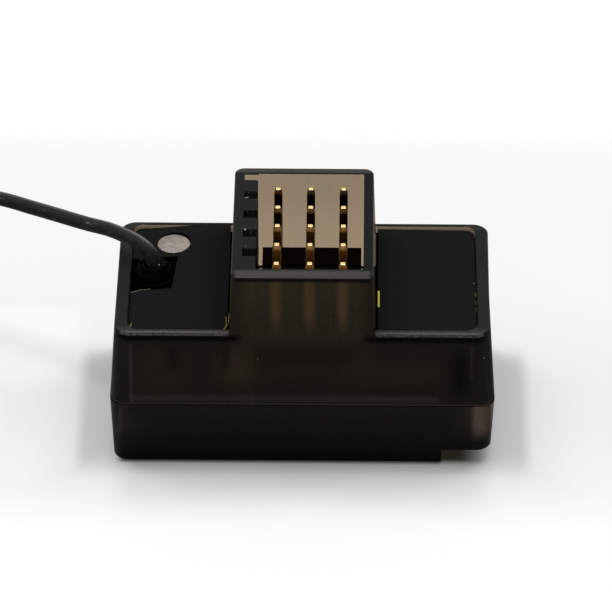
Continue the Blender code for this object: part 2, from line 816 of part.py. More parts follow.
def hung(model, name, data, mat, place):
    """Hangs a component that was made standing on z = 0 under the board."""
    ob = model.part(name, data, mat, (*place, BOARD_Z - GAP))
    ob.rotation_euler = (math.pi, 0.0, 0.0)
    return ob


def board_bottom_components(model):
    """Under the board: the radio chip in its shield can, capacitors and resistors."""
    tin = model.material("tinned_steel", (0.6, 0.6, 0.58), 0.35, 1.0)
    black = model.material("component_black", (0.02, 0.02, 0.022), 0.55)
    yellow = model.material("tantalum", (0.75, 0.45, 0.08), 0.5)
    silver = model.material("can_aluminium", (0.75, 0.75, 0.76), 0.3, 1.0)
    shield = chip_body("rf_shield", SHIELD_SIZE, SHIELD_SHEET)
    shield_can = hung(model, "rf_shield", shield, tin, in_bay(-1, SHIELD_PLACE))
    inner = (SHIELD_SIZE[0] / 2 - SHIELD_SHEET, SHIELD_SIZE[1] / 2 - SHIELD_SHEET)
    depth = SHIELD_SIZE[2] - SHIELD_SHEET
    hollow = drafted_block("shield_cutter", inner, inner, -MORE, depth)
    cutter = model.cutter("shield_cutter", hollow, shield_can.location)
    cutter.rotation_euler = shield_can.rotation_euler
    boolean(shield_can, cutter)
    rf_chip_size = (
        2 * (inner[0] - RF_CHIP_ROOM[0]),
        2 * (inner[1] - RF_CHIP_ROOM[1]),
        depth - RF_CHIP_ROOM[2],
    )
    for name, place, size, mat in (
        ("rf_chip", in_bay(-1, SHIELD_PLACE), rf_chip_size, black),
        ("tantalum_capacitor", in_bay(-1, TANTALUM_PLACE), TANTALUM_SIZE, yellow),
        ("resistor_array", in_bay(1, ARRAY_PLACE), ARRAY_SIZE, black),
    ):
        hung(model, name, chip_body(name, size), mat, place)
    foot_half = (CAPACITOR_FOOT[0] / 2, CAPACITOR_FOOT[1] / 2)
    foot = drafted_block("electrolytic_capacitor", foot_half, foot_half, 0.0, CAPACITOR_FOOT[2])
    can = hung(model, "electrolytic_capacitor", foot, silver, in_bay(1, CAPACITOR_PLACE))
    radius = CAPACITOR_DIAMETER / 2
    height = BOARD_Z - RAISED_FLOOR_Z - 2 * GAP
    fillet = CAPACITOR_FILLET
    rim = arc((radius - fillet, height - fillet), fillet, 90, 0, 3)
    profile = [(0.0, height), *rim, (radius, CAPACITOR_FOOT[2] / 2)]
    profile.append((0.0, CAPACITOR_FOOT[2] / 2))
    guide = model.cutter("capacitor_can_guide", outline_mesh("can", profile), can.location)
    guide.rotation_euler = can.rotation_euler
    turn(guide, 24)
    boolean(can, guide, "UNION")


def light_pipe(model):
    """The frosted round window over the status light, with a flange under the roof."""
    frost = model.material("frosted_lens", (0.45, 0.43, 0.4), 0.6)
    foot = SOLDER_Z + LED_SIZE[2] + GAP
    flange_top = CEILING_Z - GAP
    head, flange = LENS_DIAMETER / 2, LENS_FLANGE_DIAMETER / 2
    profile = [
        (0.0, LABEL_TOP_Z),
        (head, LABEL_TOP_Z),
        (head, flange_top),
        (flange, flange_top),
        (flange, flange_top - LENS_FLANGE),
        (head, flange_top - LENS_FLANGE),
        (head, foot),
        (0.0, foot),
    ]
    ob = model.part("light_pipe", outline_mesh("light_pipe", profile), frost, (LENS_X, LENS_Y, 0.0))
    turn(ob)


def antenna_collar(model):
    """The rubber grommet: flange under the roof, neck through it, domed bead above."""
    rubber = model.material("black_rubber", (0.015, 0.015, 0.015), 0.7)
    bore = CABLE_DIAMETER / 2 + CABLE_FIT
    neck = COLLAR_NECK_DIAMETER / 2
    bead = COLLAR_DIAMETER / 2
    flange = COLLAR_FLANGE_DIAMETER / 2
    dome = arc((bead - COLLAR_ROUND, MOUTH_Z - COLLAR_ROUND), COLLAR_ROUND, 90, 0, 4)
    flange_top = CEILING_Z - GAP
    profile = [
        (bore, MOUTH_Z),
        *dome,
        (bead, POCKET_Z + GAP),
        (neck, POCKET_Z + GAP),
        (neck, flange_top),
        (flange, flange_top),
        (flange, flange_top - COLLAR_FLANGE),
        (bore, flange_top - COLLAR_FLANGE),
    ]
    data = outline_mesh("antenna_collar", profile, closed=True)
    ob = model.part("antenna_collar", data, rubber, (COLLAR_X, COLLAR_Y, 0.0))
    turn(ob, 24)


def tail_route():
    """The cable's line from the collar's mouth, through the board and up to its pad."""
    pad = BOARD_Z - GAP - CABLE_DIAMETER / 2
    line = (
        (0.0, MOUTH_Z),
        (0.0, BOARD_TOP_Z),
        (0.0, BOARD_Z),
        (0.06, pad),
        (0.2, BOARD_Z - 0.9 * TAIL_DROP),
        (0.45, BOARD_Z - TAIL_DROP),
        (0.7, BOARD_Z - 0.75 * TAIL_DROP),
        (1.0, pad),
    )
    return [Vector((COLLAR_X + x * TAIL_REACH, COLLAR_Y, z)) for x, z in line]


def antenna_cable(model):
    """The cable inside the case, its free stretch, its coil and its bare whip."""
    jacket = model.material("cable_jacket", (0.03, 0.03, 0.032), 0.55)
    core = model.material("cable_core", (0.7, 0.69, 0.64), 0.4)
    step = CABLE_STEP * CABLE_DIAMETER
    tail = smooth_line(tail_route(), step / 2)
    model.part("antenna_tail", tube("antenna_tail", tail, CABLE_DIAMETER), jacket)
    lead = smooth_line(
        [(COLLAR_X + x * MM, COLLAR_Y + y * MM, z * MOUTH_Z) for x, y, z in CABLE_ROUTE], step
    )
    model.part("antenna_lead", tube("antenna_lead", lead, CABLE_DIAMETER), jacket)
    d = CABLE_DIAMETER
    r = COIL_DIAMETER / 2
    crown = d * (1 + math.sin(math.radians(60)))
    bevel = d / 3
    profile = [
        (r - d / 2, crown),
        (r + d / 2, crown),
        (r + d, d / 2 + bevel),
        (r + d, bevel),
        (r + d - bevel, 0.0),
        (r - d + bevel, 0.0),
        (r - d, bevel),
        (r - d, d / 2 + bevel),
    ]
    data = outline_mesh("antenna_coil", profile, closed=True)
    ring = model.part("antenna_coil", data, jacket, (*COIL_CENTRE, 0.0))
    turn(ring)
    reach = r + d + GAP + WHIP_DIAMETER / 2
    turned = WHIP_LENGTH / reach
    count = 14
    points = []
    for i in range(count):
        a = math.pi + turned * i / (count - 1)
        points.append(
            (
                COIL_CENTRE[0] + reach * math.cos(a),
                COIL_CENTRE[1] + reach * math.sin(a),
                WHIP_DIAMETER / 2,
            )
        )
    model.part("antenna_whip", tube("antenna_whip", points, WHIP_DIAMETER), core)


def labels(model):
    """The two bare black labels. The left one is cut for the collar and the lens."""
    paper = model.material("black_label", (0.012, 0.012, 0.012), 0.5)
    x0 = TOWER_FOOT[0] + TOWER_DRAFT * (SHOULDER_Z - LABEL_Z) + LABEL_FIT
    x1 = SHOULDER_TOP[0] - POCKET_SIDE_RIM - LABEL_FIT
    y0 = -SHOULDER_TOP[1] + POCKET_FRONT_RIM + LABEL_FIT
    y1 = SHOULDER_TOP[1] - POCKET_BACK_RIM - LABEL_FIT
    half = ((x1 - x0) / 2, (y1 - y0) / 2)
    for name, sign in (("left_label", -1), ("right_label", 1)):
        data = drafted_block(
            name, half, half, LABEL_Z, LABEL_TOP_Z, corner=POCKET_CORNER - LABEL_FIT, steps=4
        )
        ob = model.part(name, data, paper, (sign * (x0 + x1) / 2, (y0 + y1) / 2, 0.0))
        if sign < 0:
            notch = box(
                "label_notch_cutter",
                -x1 - MORE,
                COLLAR_X + LABEL_NOTCH_REACH,
                COLLAR_Y - LABEL_NOTCH_FRONT,
                COLLAR_Y + LABEL_NOTCH_BACK,
                LABEL_Z - MORE,
                LABEL_TOP_Z + MORE,
            )
            boolean(ob, model.cutter("label_notch_cutter", notch))
            hole = cylinder(
                "label_hole_cutter",
                LENS_DIAMETER + 2 * LENS_FIT,
                LABEL_Z - MORE,
                LABEL_TOP_Z + MORE,
            )
            boolean(ob, model.cutter("label_hole_cutter", hole, (LENS_X, LENS_Y, 0.0)))


def main():
    clear_scene()
    model = Model()
    upper_case(model)
    lower_case(model)
    main_board(model)
    header_base(model)
    pins(model)
    board_top_components(model)
    board_bottom_components(model)
    light_pipe(model)
    antenna_collar(model)
    antenna_cable(model)
    labels(model)


main()
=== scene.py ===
"""RC receiver: the looks of a small radio-control receiver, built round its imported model.

Two smoked translucent shells, an open connector with fifteen gold pins, two bare
labels, a frosted light window, and an antenna cable in a rubber collar. Lengths are in
metres, +Z is up and the long front wall faces -Y.
"""

import math

import bmesh
import bpy
from bpy.props import FloatProperty, FloatVectorProperty, IntProperty, PointerProperty
from mathutils import Matrix, Vector, noise


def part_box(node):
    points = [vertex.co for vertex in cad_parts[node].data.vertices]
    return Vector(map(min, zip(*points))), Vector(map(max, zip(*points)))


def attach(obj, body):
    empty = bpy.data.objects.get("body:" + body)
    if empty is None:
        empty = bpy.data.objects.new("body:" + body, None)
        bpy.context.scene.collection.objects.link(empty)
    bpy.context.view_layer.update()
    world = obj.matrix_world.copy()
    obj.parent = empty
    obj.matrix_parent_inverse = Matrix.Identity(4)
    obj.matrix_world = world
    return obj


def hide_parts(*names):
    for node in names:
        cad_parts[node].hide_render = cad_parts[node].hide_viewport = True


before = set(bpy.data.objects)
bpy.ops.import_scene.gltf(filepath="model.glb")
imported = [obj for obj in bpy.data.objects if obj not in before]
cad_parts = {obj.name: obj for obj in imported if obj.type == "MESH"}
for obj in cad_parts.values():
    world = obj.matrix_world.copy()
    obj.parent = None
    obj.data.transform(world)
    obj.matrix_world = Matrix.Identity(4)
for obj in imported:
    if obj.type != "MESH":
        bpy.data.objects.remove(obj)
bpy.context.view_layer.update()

bl_info = {
    "name": "RC Receiver",
    "version": (1, 0, 0),
    "blender": (4, 5, 0),
    "location": "3D View > Sidebar > Receiver",
    "description": "Builds a small radio-control receiver and the table that it stands on",
    "category": "Add Mesh",
}

MM = 0.001
BLACK, WHITE = (0.0, 0.0, 0.0), (1.0, 1.0, 1.0)

# Connector and tower
PITCH = 2.54 * MM
ROWS, COLUMNS = 5, 3
ROLES = ("signal", "supply", "ground")
PIN_SIDE = 0.64 * MM
KEY_WIDTH = 1.0 * MM
KEY_DEPTH = 1.05 * MM
KEY_OFFSET = 0.835 * MM
KEY_PITCH = 1.02 * PITCH
LAST_KEY_NARROWER = 0.14 * MM
TOWER_DRAFT = 0.035
TOWER_CORNER = 0.75 * MM
TOWER_FRONT_CORNER = 0.3 * MM

# Shells
SHOULDER_DRAFT = 0.065
BASE_DRAFT = 0.046
END_TAPER = 0.013
END_TAPER_FROM = -8.0 * MM
SHOULDER_TAPER = 0.012
LEFT_LEAN = 0.013
POCKET_SPLAY = 0.0065
WALL = 0.8 * MM
ROOF = 0.75 * MM
BASE_WALL = 1.2 * MM
BASE_FLOOR = 0.9 * MM
FOOT_SPREAD = 0.18 * MM
STEP_LENGTH = 3.8 * MM
STEP_HEIGHT = 1.2 * MM
SKIRT_WALL = 0.4 * MM
LAP_FIT = 0.2 * MM
LAP_HEIGHT = 0.9 * MM
POCKET_SIDE_RIM = 1.0 * MM
POCKET_FRONT_RIM = 0.58 * MM
POCKET_BACK_RIM = 0.3 * MM
POCKET_CORNER = 0.9 * MM
OUTER_CORNER = 1.2 * MM
INNER_CORNER = 0.4 * MM
LAP_CORNER = 0.8 * MM
TRAY_CORNER = 0.6 * MM
WELL_CORNER = 0.12 * MM
POST_HALF = (0.75 * MM, 0.75 * MM)
POST_X = 12.55 * MM
POST_Y = 5.62 * MM
LABEL_FIT = 0.12 * MM
LABEL_THICKNESS = 0.12 * MM
LABEL_TOWER_FIT = 0.17 * MM
LABEL_BACK_FIT = 0.04 * MM
LABEL_CORNER = 0.75 * MM
LABEL_CUTS = 22
RIGHT_LABEL_LIFT = 0.11 * MM
SLIT_HALF = (2.4 * MM, 2.17 * MM)
SLIT_Y = 1.14 * MM
CHIP_LEG_REACH = 0.75 * MM

# Heights of the shells' parts
SEAM_Z = 5.42 * MM
BOARD_Z = 6.9 * MM
SOLDER_Z = 8.2 * MM
HEADER_Z = 10.2 * MM
CEILING_Z = 10.48 * MM
POCKET_Z = 11.23 * MM
SHOULDER_Z = 11.9 * MM
RIM_Z = 17.22 * MM
LABEL_Z = 11.38 * MM

# Half lengths along X and Y, and the middle of the connector
HEADER_HALF = (COLUMNS * PITCH / 2, ROWS * PITCH / 2 - 0.065 * MM)
WELL_HALF = (HEADER_HALF[0] + 0.31 * MM, HEADER_HALF[1] + 0.2 * MM)
TOWER_RIM = (5.4075 * MM, 7.2525 * MM)
TOWER_SIDE = 5.5927 * MM
SHOULDER_TOP = (14.3927 * MM, 7.4677 * MM)
CONNECTOR = (0.5325 * MM, 0.0525 * MM)
STEP_X = 10.76 * MM
NUB = (12.3 * MM, -6.9 * MM)
NUB_DIAMETER = 1.1 * MM

# Small pieces in the left pocket
LENS = (-10.2 * MM, 5.03 * MM)
LENS_DIAMETER = 2.53 * MM
COLLAR = (-11.6 * MM, 0.95 * MM)

# Antenna: the route of the part's own cable, then its coil on the floor, in degrees
CABLE_DIAMETER = 1.13 * MM
WHIP_DIAMETER = 0.68 * MM
WHIP_LENGTH = 31.0 * MM
WHIP_RADIUS = 8.07 * MM
COIL_CENTRE = (-33.6 * MM, 6.5 * MM)
COIL_RADIUS = 6.3 * MM
COIL_START = math.degrees(math.atan2(7.6 - 6.5, 33.6 - 39.9))
COIL_TURN = 1050.0
COIL_STEP = 6.0
CABLE_ROUTE = (
    (-0.01160, 0.00095, 0.01230),
    (-0.01172, 0.00106, 0.01280),
    (-0.01200, 0.00130, 0.01335),
    (-0.01260, 0.00170, 0.01370),
    (-0.01340, 0.00230, 0.01385),
    (-0.01510, 0.00380, 0.01365),
    (-0.01700, 0.00520, 0.01325),
    (-0.01910, 0.00660, 0.01300),
    (-0.02150, 0.00800, 0.01285),
    (-0.02400, 0.00940, 0.01270),
    (-0.02700, 0.01080, 0.01230),
    (-0.03000, 0.01190, 0.01140),
    (-0.03320, 0.01260, 0.00970),
    (-0.03620, 0.01250, 0.00730),
    (-0.03860, 0.01130, 0.00500),
    (-0.03975, 0.00940, 0.00350),
)

# Camera and lamps
CAMERA_LENS = 292.83
CAMERA_PLACE = Vector((4.02, -315.9, 233.1)) * MM
CAMERA_AIM = Vector((0.20, -0.01, 9.20)) * MM
STRIPS = (("left strip", (-0.17, 0.125, 0.62)), ("right strip", (0.17, 0.125, 0.62)))
STRIP_SIZE = (0.15, 0.42)
BACKDROP = 0.97
FLOOR_HALF = 2.5


def grown(half, amount):
    """Half sizes of an outline moved outwards by an amount on every side."""
    return (half[0] + amount, half[1] + amount)


def upper_half(z, inset=0.0):
    """Half sizes of the upper shell's drafted outline at a height."""
    return grown(SHOULDER_TOP, SHOULDER_DRAFT * (SHOULDER_Z - z) - inset)


def lower_half(z, inset=0.0):
    """Half sizes of the lower shell's drafted outline at a height."""
    return grown(upper_half(SEAM_Z), BASE_DRAFT * (z - SEAM_Z) - inset)


# ---- settings


def length(name, about, default, low, high):
    """A setting for a length, with its numbers in millimetres."""
    span = {"default": default * MM, "min": low * MM, "max": high * MM}
    return FloatProperty(name=name, description=about, precision=5, unit="LENGTH", **span)


def colour(name, about, default):
    """A setting for a colour."""
    return FloatVectorProperty(name=name, description=about, default=default, subtype="COLOR")


class ReceiverShape(bpy.types.PropertyGroup):
    """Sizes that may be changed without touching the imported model."""

    rim_fillet: length("Rim fillet", "Radius of the shells' upper edges", 0.06, 0.05, 0.45)
    edge_break: length("Edge break", "Chamfer of the well and the pockets", 0.07, 0.01, 0.15)
    seam_gap: length("Seam gap", "Height of the groove between the shells", 0.03, 0.02, 0.3)
    label_lift: length("Label lift", "How far the left label's corner lifts", 0.48, 0.0, 0.9)
    corner_steps: IntProperty(
        name="Corner steps", description="Segments of rounded corners", default=10, min=3, max=24
    )


class ReceiverColours(bpy.types.PropertyGroup):
    """Colours of the receiver's finishes."""

    smoke: colour("Smoke", "Body colour of the smoked plastic", (0.0085, 0.0081, 0.0047))
    tint: colour("Smoke tint", "Colour of light that passes the shells", (0.98, 0.86, 0.70))
    # Painted sheen: the paler colour given to faces that look up, for the light they catch
    painted_sheen: colour("Smoke haze", "Bloom of faces that look up", (0.0165, 0.0172, 0.0158))
    gold: colour("Gold", "Plating of the pins", (1.0, 0.72, 0.34))
    label: colour("Label", "Face of the two labels", (0.0118, 0.0118, 0.0118))
    frost: colour("Frosted window", "Body of the light window", (0.4, 0.365, 0.315))
    jacket: colour("Cable jacket", "Jacket of the antenna cable", (0.0125, 0.0132, 0.0112))
    board: colour("Circuit board", "Solder mask of the board", (0.012, 0.05, 0.024))


class ReceiverStage(bpy.types.PropertyGroup):
    """Light and floor around the receiver."""

    strip_power: FloatProperty(
        name="Strip power",
        description="Strength of each of the two long lamps over the receiver",
        default=1.55,
        min=0.0,
        unit="POWER",
    )
    sky: FloatProperty(
        name="Sky",
        description="Strength of the even white light from all round",
        default=0.36,
        min=0.0,
    )
    floor_colour: colour("Floor", "Colour of the floor", (0.84, 0.84, 0.84))


# ---- shader graphs


def arithmetic(operation):
    """Methods of a Wire that add a Math node, with the Wire as its first or second input."""

    def first(self, *others):
        inputs = dict(enumerate((self, *others)))
        return self.graph.node("Math", {"operation": operation}, inputs)

    def second(self, other):
        return self.graph.node("Math", {"operation": operation}, {0: other, 1: self})

    return first, second


class Wire:
    """An output of a shader node. Arithmetic on it adds Math nodes."""

    __add__, __radd__ = arithmetic("ADD")
    __sub__, __rsub__ = arithmetic("SUBTRACT")
    __mul__, __rmul__ = arithmetic("MULTIPLY")
    __truediv__, __rtruediv__ = arithmetic("DIVIDE")
    modulo = arithmetic("MODULO")[0]
    least = arithmetic("MINIMUM")[0]
    most = arithmetic("MAXIMUM")[0]
    size = arithmetic("ABSOLUTE")[0]

    def __init__(self, graph, socket):
        self.graph = graph
        self.socket = socket

    def step(self, low, high):
        """0 below the low value, 1 above the high one, smooth between."""
        settings = {"interpolation_type": "SMOOTHSTEP"}
        return self.graph.node("MapRange", settings, {0: self, 1: low, 2: high})

    def fade(self, low, high):
        """1 below the low value, 0 above the high one, smooth between."""
        return 1.0 - self.step(low, high)

    def band(self, low, high, soft):
        """1 between two values, with soft ends."""
        return self.step(low - soft, low + soft) * self.fade(high - soft, high + soft)


class Graph:
    """The nodes of a material or of the world."""

    def __init__(self, owner):
        owner.use_nodes = True
        self.tree = owner.node_tree
        self.tree.nodes.clear()

    def node(self, kind, settings=None, inputs=None, output=0):
        """A node of a type, with its settings made first and then its sockets."""
        made = self.tree.nodes.new("ShaderNode" + kind)
        for name, value in (settings or {}).items():
            setattr(made, name, value)
        for key, value in (inputs or {}).items():
            socket = made.inputs[key]
            if isinstance(value, Wire):
                self.tree.links.new(value.socket, socket)
            elif socket.type == "RGBA":
                socket.default_value = (*value, 1.0)
            else:
                socket.default_value = value
        return Wire(self, made.outputs[output])

    def split(self, vector):
        """The X, Y and Z of a vector."""
        return [self.node("SeparateXYZ", inputs={0: vector}, output=i) for i in range(3)]

    def axes(self, place):
        """The X, Y and Z of a place, in millimetres."""
        return [axis / MM for axis in self.split(place)]

    def normal(self, kind="Normal"):
        """The direction that a face looks in, bump left out."""
        return self.node("NewGeometry", output=kind)

    def rays(self, first, *others):
        """1 for rays of the kinds that are named."""
        seen = self.node("LightPath", output=f"Is {first} Ray")
        for kind in others:
            seen = seen.most(self.node("LightPath", output=f"Is {kind} Ray"))
        return seen

    def noise(self, vector, scale, detail=2.0, rough=0.5):
        inputs = {"Vector": vector, "Scale": scale, "Detail": detail, "Roughness": rough}
        return self.node("TexNoise", inputs=inputs)

    def cells(self, vector, scale, feature="F1"):
        return self.node("TexVoronoi", {"feature": feature}, {"Vector": vector, "Scale": scale})

    def mapped(self, vector, scale, turn=(0.0, 0.0, 0.0)):
        inputs = {"Vector": vector, "Rotation": turn, "Scale": scale}
        return self.node("Mapping", inputs=inputs)

    def blend(self, amount, first, second):
        """A colour between two others."""
        return self.node("Mix", {"data_type": "RGBA"}, {0: amount, 6: first, 7: second}, 2)

    def layers(self, tone, *coats):
        """A colour under coats, each a pair of how much of it shows and its colour."""
        for amount, coat in coats:
            tone = self.blend(amount, tone, coat)
        return tone

    def mix(self, amount, first, second):
        """A shader between two others."""
        return self.node("MixShader", {}, {0: amount, 1: first, 2: second})

    def plastic(self, tone, rough, relief=None, **more):
        """A Principled shader. Its relief is a height, a distance and a strength."""
        inputs = {"Base Color": tone, "Roughness": rough}
        if relief:
            bump = dict(zip(("Height", "Distance", "Strength"), relief))
            inputs["Normal"] = self.node("Bump", inputs=bump)
        inputs.update({key.replace("_", " "): value for key, value in more.items()})
        return self.node("BsdfPrincipled", inputs=inputs)

    def done(self, shader, kind="Material"):
        out = self.tree.nodes.new("ShaderNodeOutput" + kind)
        self.tree.links.new(shader.socket, out.inputs[0])


def finish(draw):
    """Makes a material once from the function that draws it, and gives the same one later."""
    made = []

    def wrapped():
        if not made:
            made.append(bpy.data.materials.new(draw.__name__ + "_finish"))
            graph = Graph(made[0])
            graph.done(draw(graph, graph.node("TexCoord", output="Object")))
        return made[0]

    return wrapped


def colours():
    return bpy.context.scene.receiver_colours


def times(tone, factor):
    """A colour made brighter or darker."""
    return tuple(v * factor for v in tone)


@finish
def smoked_shell(f, p):
    """Smoked plastic: fine grain, painted sheen that makes the rims paler, painted brown light
    where light comes through a wall, and painted shade under the rims and behind the front wall.
    """
    c = colours()
    x, y, z = f.axes(p)
    far_x = x.size()
    normal = f.split(f.normal())
    nx, ny, nz = (n.size() for n in normal)
    grain = f.noise(p, 11000.0, 2.0, 0.6)
    fleck = f.noise(p, 9500.0, 3.0, 0.75)
    speck = f.noise(p, 4200.0, 2.0).step(0.35, 0.65)
    mottle = f.noise(p, 3600.0, 2.0, 0.7).step(0.3, 0.7)
    cloud = f.noise(p, 320.0, 3.0)
    brushed = f.noise(f.mapped(p, (9.0, 9.0, 0.6)), 900.0, 3.0, 0.65)
    scuff = f.noise(f.mapped(p, (1.0, 1.0, 4.0)), 1500.0, 4.0, 0.7).step(0.62, 0.8)

    def spots(*places):
        """Soft rectangles on the front wall: strength, reach in X and in Z, softness."""
        return sum(
            strength * x.band(x0, x1, soft) * z.band(z0, z1, soft)
            for strength, x0, x1, z0, z1, soft in places
        )

    # Regions of the shells
    upright = nz.fade(0.12, 0.35)
    top_up = normal[2].step(0.3, 0.9)
    upper = z.step(5.4, 5.44)
    lower = 1.0 - upper
    tower = far_x.fade(5.5, 5.8)
    front = y.fade(-7.2, -6.9) * upright

    # Body colour: painted shade that makes it darker downwards, and painted light that brightens
    # the tower's middle higher up
    core = upper * (1.0 - 0.85 * far_x.step(4.0, 5.0)) * far_x.fade(5.0, 5.8)
    depth = (0.45 + 0.55 * z.step(0.5, 4.8)) * (0.85 + 0.3 * brushed)
    depth = depth + core * (z.step(10.4, 12.0) + 0.9 * z.step(12.5, 16.6))
    body = f.blend(depth * (0.24 + 0.12 * cloud), BLACK, times(c.smoke, 1 / 0.3))

    # Painted sheen on faces that look up, paler along the rims, with painted highlights on the
    # front lips, the back edges and the outer edges
    level = 0.55 - 0.18 * tower * x.fade(4.2, 4.6) - 0.38 * tower * x.step(4.2, 4.6)
    level = level - 0.08 * x.step(8.0, 12.0) + 0.5 * y.step(6.5, 6.8)
    painted_sheen = f.blend(level * (0.75 + 0.5 * cloud), BLACK, times(c.painted_sheen, 2.0))
    painted_sheen = f.blend(fleck.step(0.25, 0.75) * 0.45, painted_sheen, BLACK)
    lip = y.fade(-6.9, -6.5) * (0.55 + 0.8 * tower)
    lip = lip * (1.0 - 0.75 * tower * far_x.step(4.95, 5.25)) * top_up
    behind = y.step(6.5, 6.8) * z.step(16.9, 17.0) * top_up
    outer = far_x.step(5.3, 5.37) * z.step(17.0, 17.1)
    outer = outer + far_x.step(14.27, 14.34) * z.step(11.75, 11.82)

    # Inside of the well and its key slots: painted sheen on the well's left wall and pale flecks
    # in the slots; painted highlights on the tower's rounded corners
    left_wall = normal[0].step(0.6, 0.9) * tower * far_x.fade(3.64, 3.68) * z.step(12.0, 13.0)
    slots = x.band(-4.85, -3.76, 0.04) * upright * z.step(13.0, 14.0)
    slots = slots * y.fade(5.4, 5.5) * y.step(-6.0, -5.9)
    bend = nx.step(0.5, 0.8) * ny.step(0.1, 0.3) * far_x.fade(5.6, 5.7) * z.step(11.5, 16.0)

    # Painted highlight on the front edges of the rims, and painted shade in the dark line under
    # them
    edge = z.step(16.88, 16.94) * (1.0 - 0.75 * far_x.step(4.95, 5.2))
    shoulder = z.band(11.63, 12.0, 0.04) * (1.0 - tower)
    edge = (edge + (0.36 + 0.42 * speck) * shoulder) * y.fade(-7.27, -7.2)
    under = 0.75 * z.band(16.56, 16.84, 0.14) * far_x.fade(4.9, 5.2)
    under = under + z.band(11.2, 11.6, 0.3) * far_x.step(4.3, 5.4)
    under = under * front * (1.0 - edge) * (0.8 + 0.4 * cloud)

    # Painted light that comes through the front wall, in brown streaks over the pins and glowing
    # patches, and painted shade where parts stand behind it
    through = (0.08 + 0.1 * z.step(10.5, 16.0)) * far_x.fade(4.0, 6.6) * z.step(5.5, 9.0)
    for column in range(COLUMNS):
        pin = (CONNECTOR[0] + (column - (COLUMNS - 1) / 2) * PITCH) / MM
        through = through + x.band(pin - 0.32, pin + 0.32, 0.34) * z.step(11.2, 14.2)
    through = through + spots(
        (0.22, -6.6, -4.2, 7.2, 10.4, 1.4),
        (0.12, 4.0, 10.6, 7.4, 9.2, 1.5),
        (0.1, -12.6, -8.6, 6.6, 10.4, 1.2),
    )
    glow = through * front * (0.6 + 0.8 * brushed) * z.step(17.0, 16.4)
    # Painted shade where parts stand behind the front wall
    dark = spots(
        (0.8, 11.5, 12.7, 6.4, 10.2, 0.9),
        (0.55, -10.2, -9.5, 8.6, 10.8, 0.6),
        (0.6, -6.2, -5.7, 8.6, 11.0, 0.6),
        (0.35, -3.0, 3.4, 9.3, 10.3, 1.1),
    )
    painted_shade_mask = (under + dark * front * 0.8).least(1.0)

    # Painted light: pale lines of the skirt and the posts, and the paler right end of the lower
    # shell where light comes through its corner
    lines = spots(
        (1.0, -13.3, 10.5, 5.75, 6.25, 0.3),
        (1.6, -14.6, 14.6, 5.45, 5.56, 0.03),
        (0.9, -13.25, -13.0, 5.6, 10.9, 0.12),
        (0.6, 12.85, 13.1, 7.6, 10.9, 0.12),
    )
    side = z.step(1.8, 4.0) * lower
    corner = x.step(12.9, 13.5) * (1.0 - 0.6 * x.step(13.8, 14.5)) * side

    tone = f.layers(
        body,
        (left_wall, times(c.painted_sheen, 1.3)),
        (top_up, painted_sheen),
        (slots * fleck.step(0.48, 0.66) * 0.7, (0.14, 0.14, 0.125)),
        (behind * 0.5, (0.085, 0.085, 0.08)),
        (outer * 0.45, (0.09, 0.09, 0.085)),
        (lip * 0.45, (0.1, 0.096, 0.088)),
        (bend * 0.5, (0.05, 0.05, 0.044)),
        (scuff * 0.08 * upper, (0.07, 0.066, 0.058)),
        (mottle * 0.3, BLACK),
        (glow, (0.074, 0.044, 0.02)),
        # painted brown light in streaks on the upper shell's front
        (front * upper * brushed.step(0.5, 0.75) * 0.3, (0.03, 0.02, 0.011)),
        (painted_shade_mask * 0.9, BLACK),
        (lines * front * (0.3 + 0.3 * brushed), (0.05, 0.044, 0.036)),
        # painted light: a faint pale patch low on the left end
        (spots((0.12, -14.2, -12.6, 2.6, 4.4, 0.9)), (0.05, 0.047, 0.042)),
        (x.step(11.0, 13.4) * side * 0.35, (0.04, 0.037, 0.032)),
        (corner * (0.6 + 0.5 * brushed), (0.17, 0.125, 0.092)),
        (edge, (0.125, 0.12, 0.11)),
    )
    rough = 0.36 + 0.14 * grain + 0.08 * cloud
    shader = f.plastic(tone, rough, (grain, 0.00004, 0.35), Specular_IOR_Level=0.05)

    # Painted shade: a near-black matt shader mixed in on the pockets' floors, under the rims,
    # behind the front wall and on the right end wall
    dull = f.blend(grain, (0.0005,) * 3, (0.0015,) * 3)
    shade = f.plastic(dull, 0.9, Specular_IOR_Level=0.0)
    pocket = z.fade(11.3, 11.5) * top_up
    end_wall = nx.step(0.6, 0.9) * x.step(12.5, 13.5) * upper * 0.6
    shader = f.mix(pocket.most(painted_shade_mask * 0.75).most(end_wall), shader, shade)

    # How much passes each wall: most through the back, least through solid ends
    slot = x.fade(-3.68, -3.64) * tower * y.fade(5.3, 5.4)
    recess = x.fade(-3.5, -3.42) * tower * y.step(6.12, 6.16)
    back = y.step(6.4, 6.5).most(recess)
    smudge = spots((0.2, 0.2, 0.35, 16.3, 16.5, 0.3)) * back
    wall = 0.2 + 0.14 * z.step(11.3, 11.5) * (1.0 - tower)
    wall = wall + tower * (0.28 + 0.05 * z.fade(10.0, 16.0))
    inner = nx * tower * y.step(-6.4, -6.2) * 0.1
    wall = (0.07 + back * wall + inner) * (1.0 - slot)
    low = 0.01 + 0.05 * z.step(1.2, 3.2) + 0.3 * x.step(12.9, 13.6) * z.step(2.0, 4.0)
    ledge = back * tower * z.band(11.3, 11.9, 0.1) * y.step(7.3, 7.35)
    share = (wall * upper + low * lower) * upright.most(ledge)
    share = share * (0.91 + 0.06 * cloud + 0.1 * brushed - smudge) * (1.0 - 0.8 * painted_shade_mask)
    return f.mix(share, shader, f.node("BsdfTransparent", {}, {"Color": c.tint}))


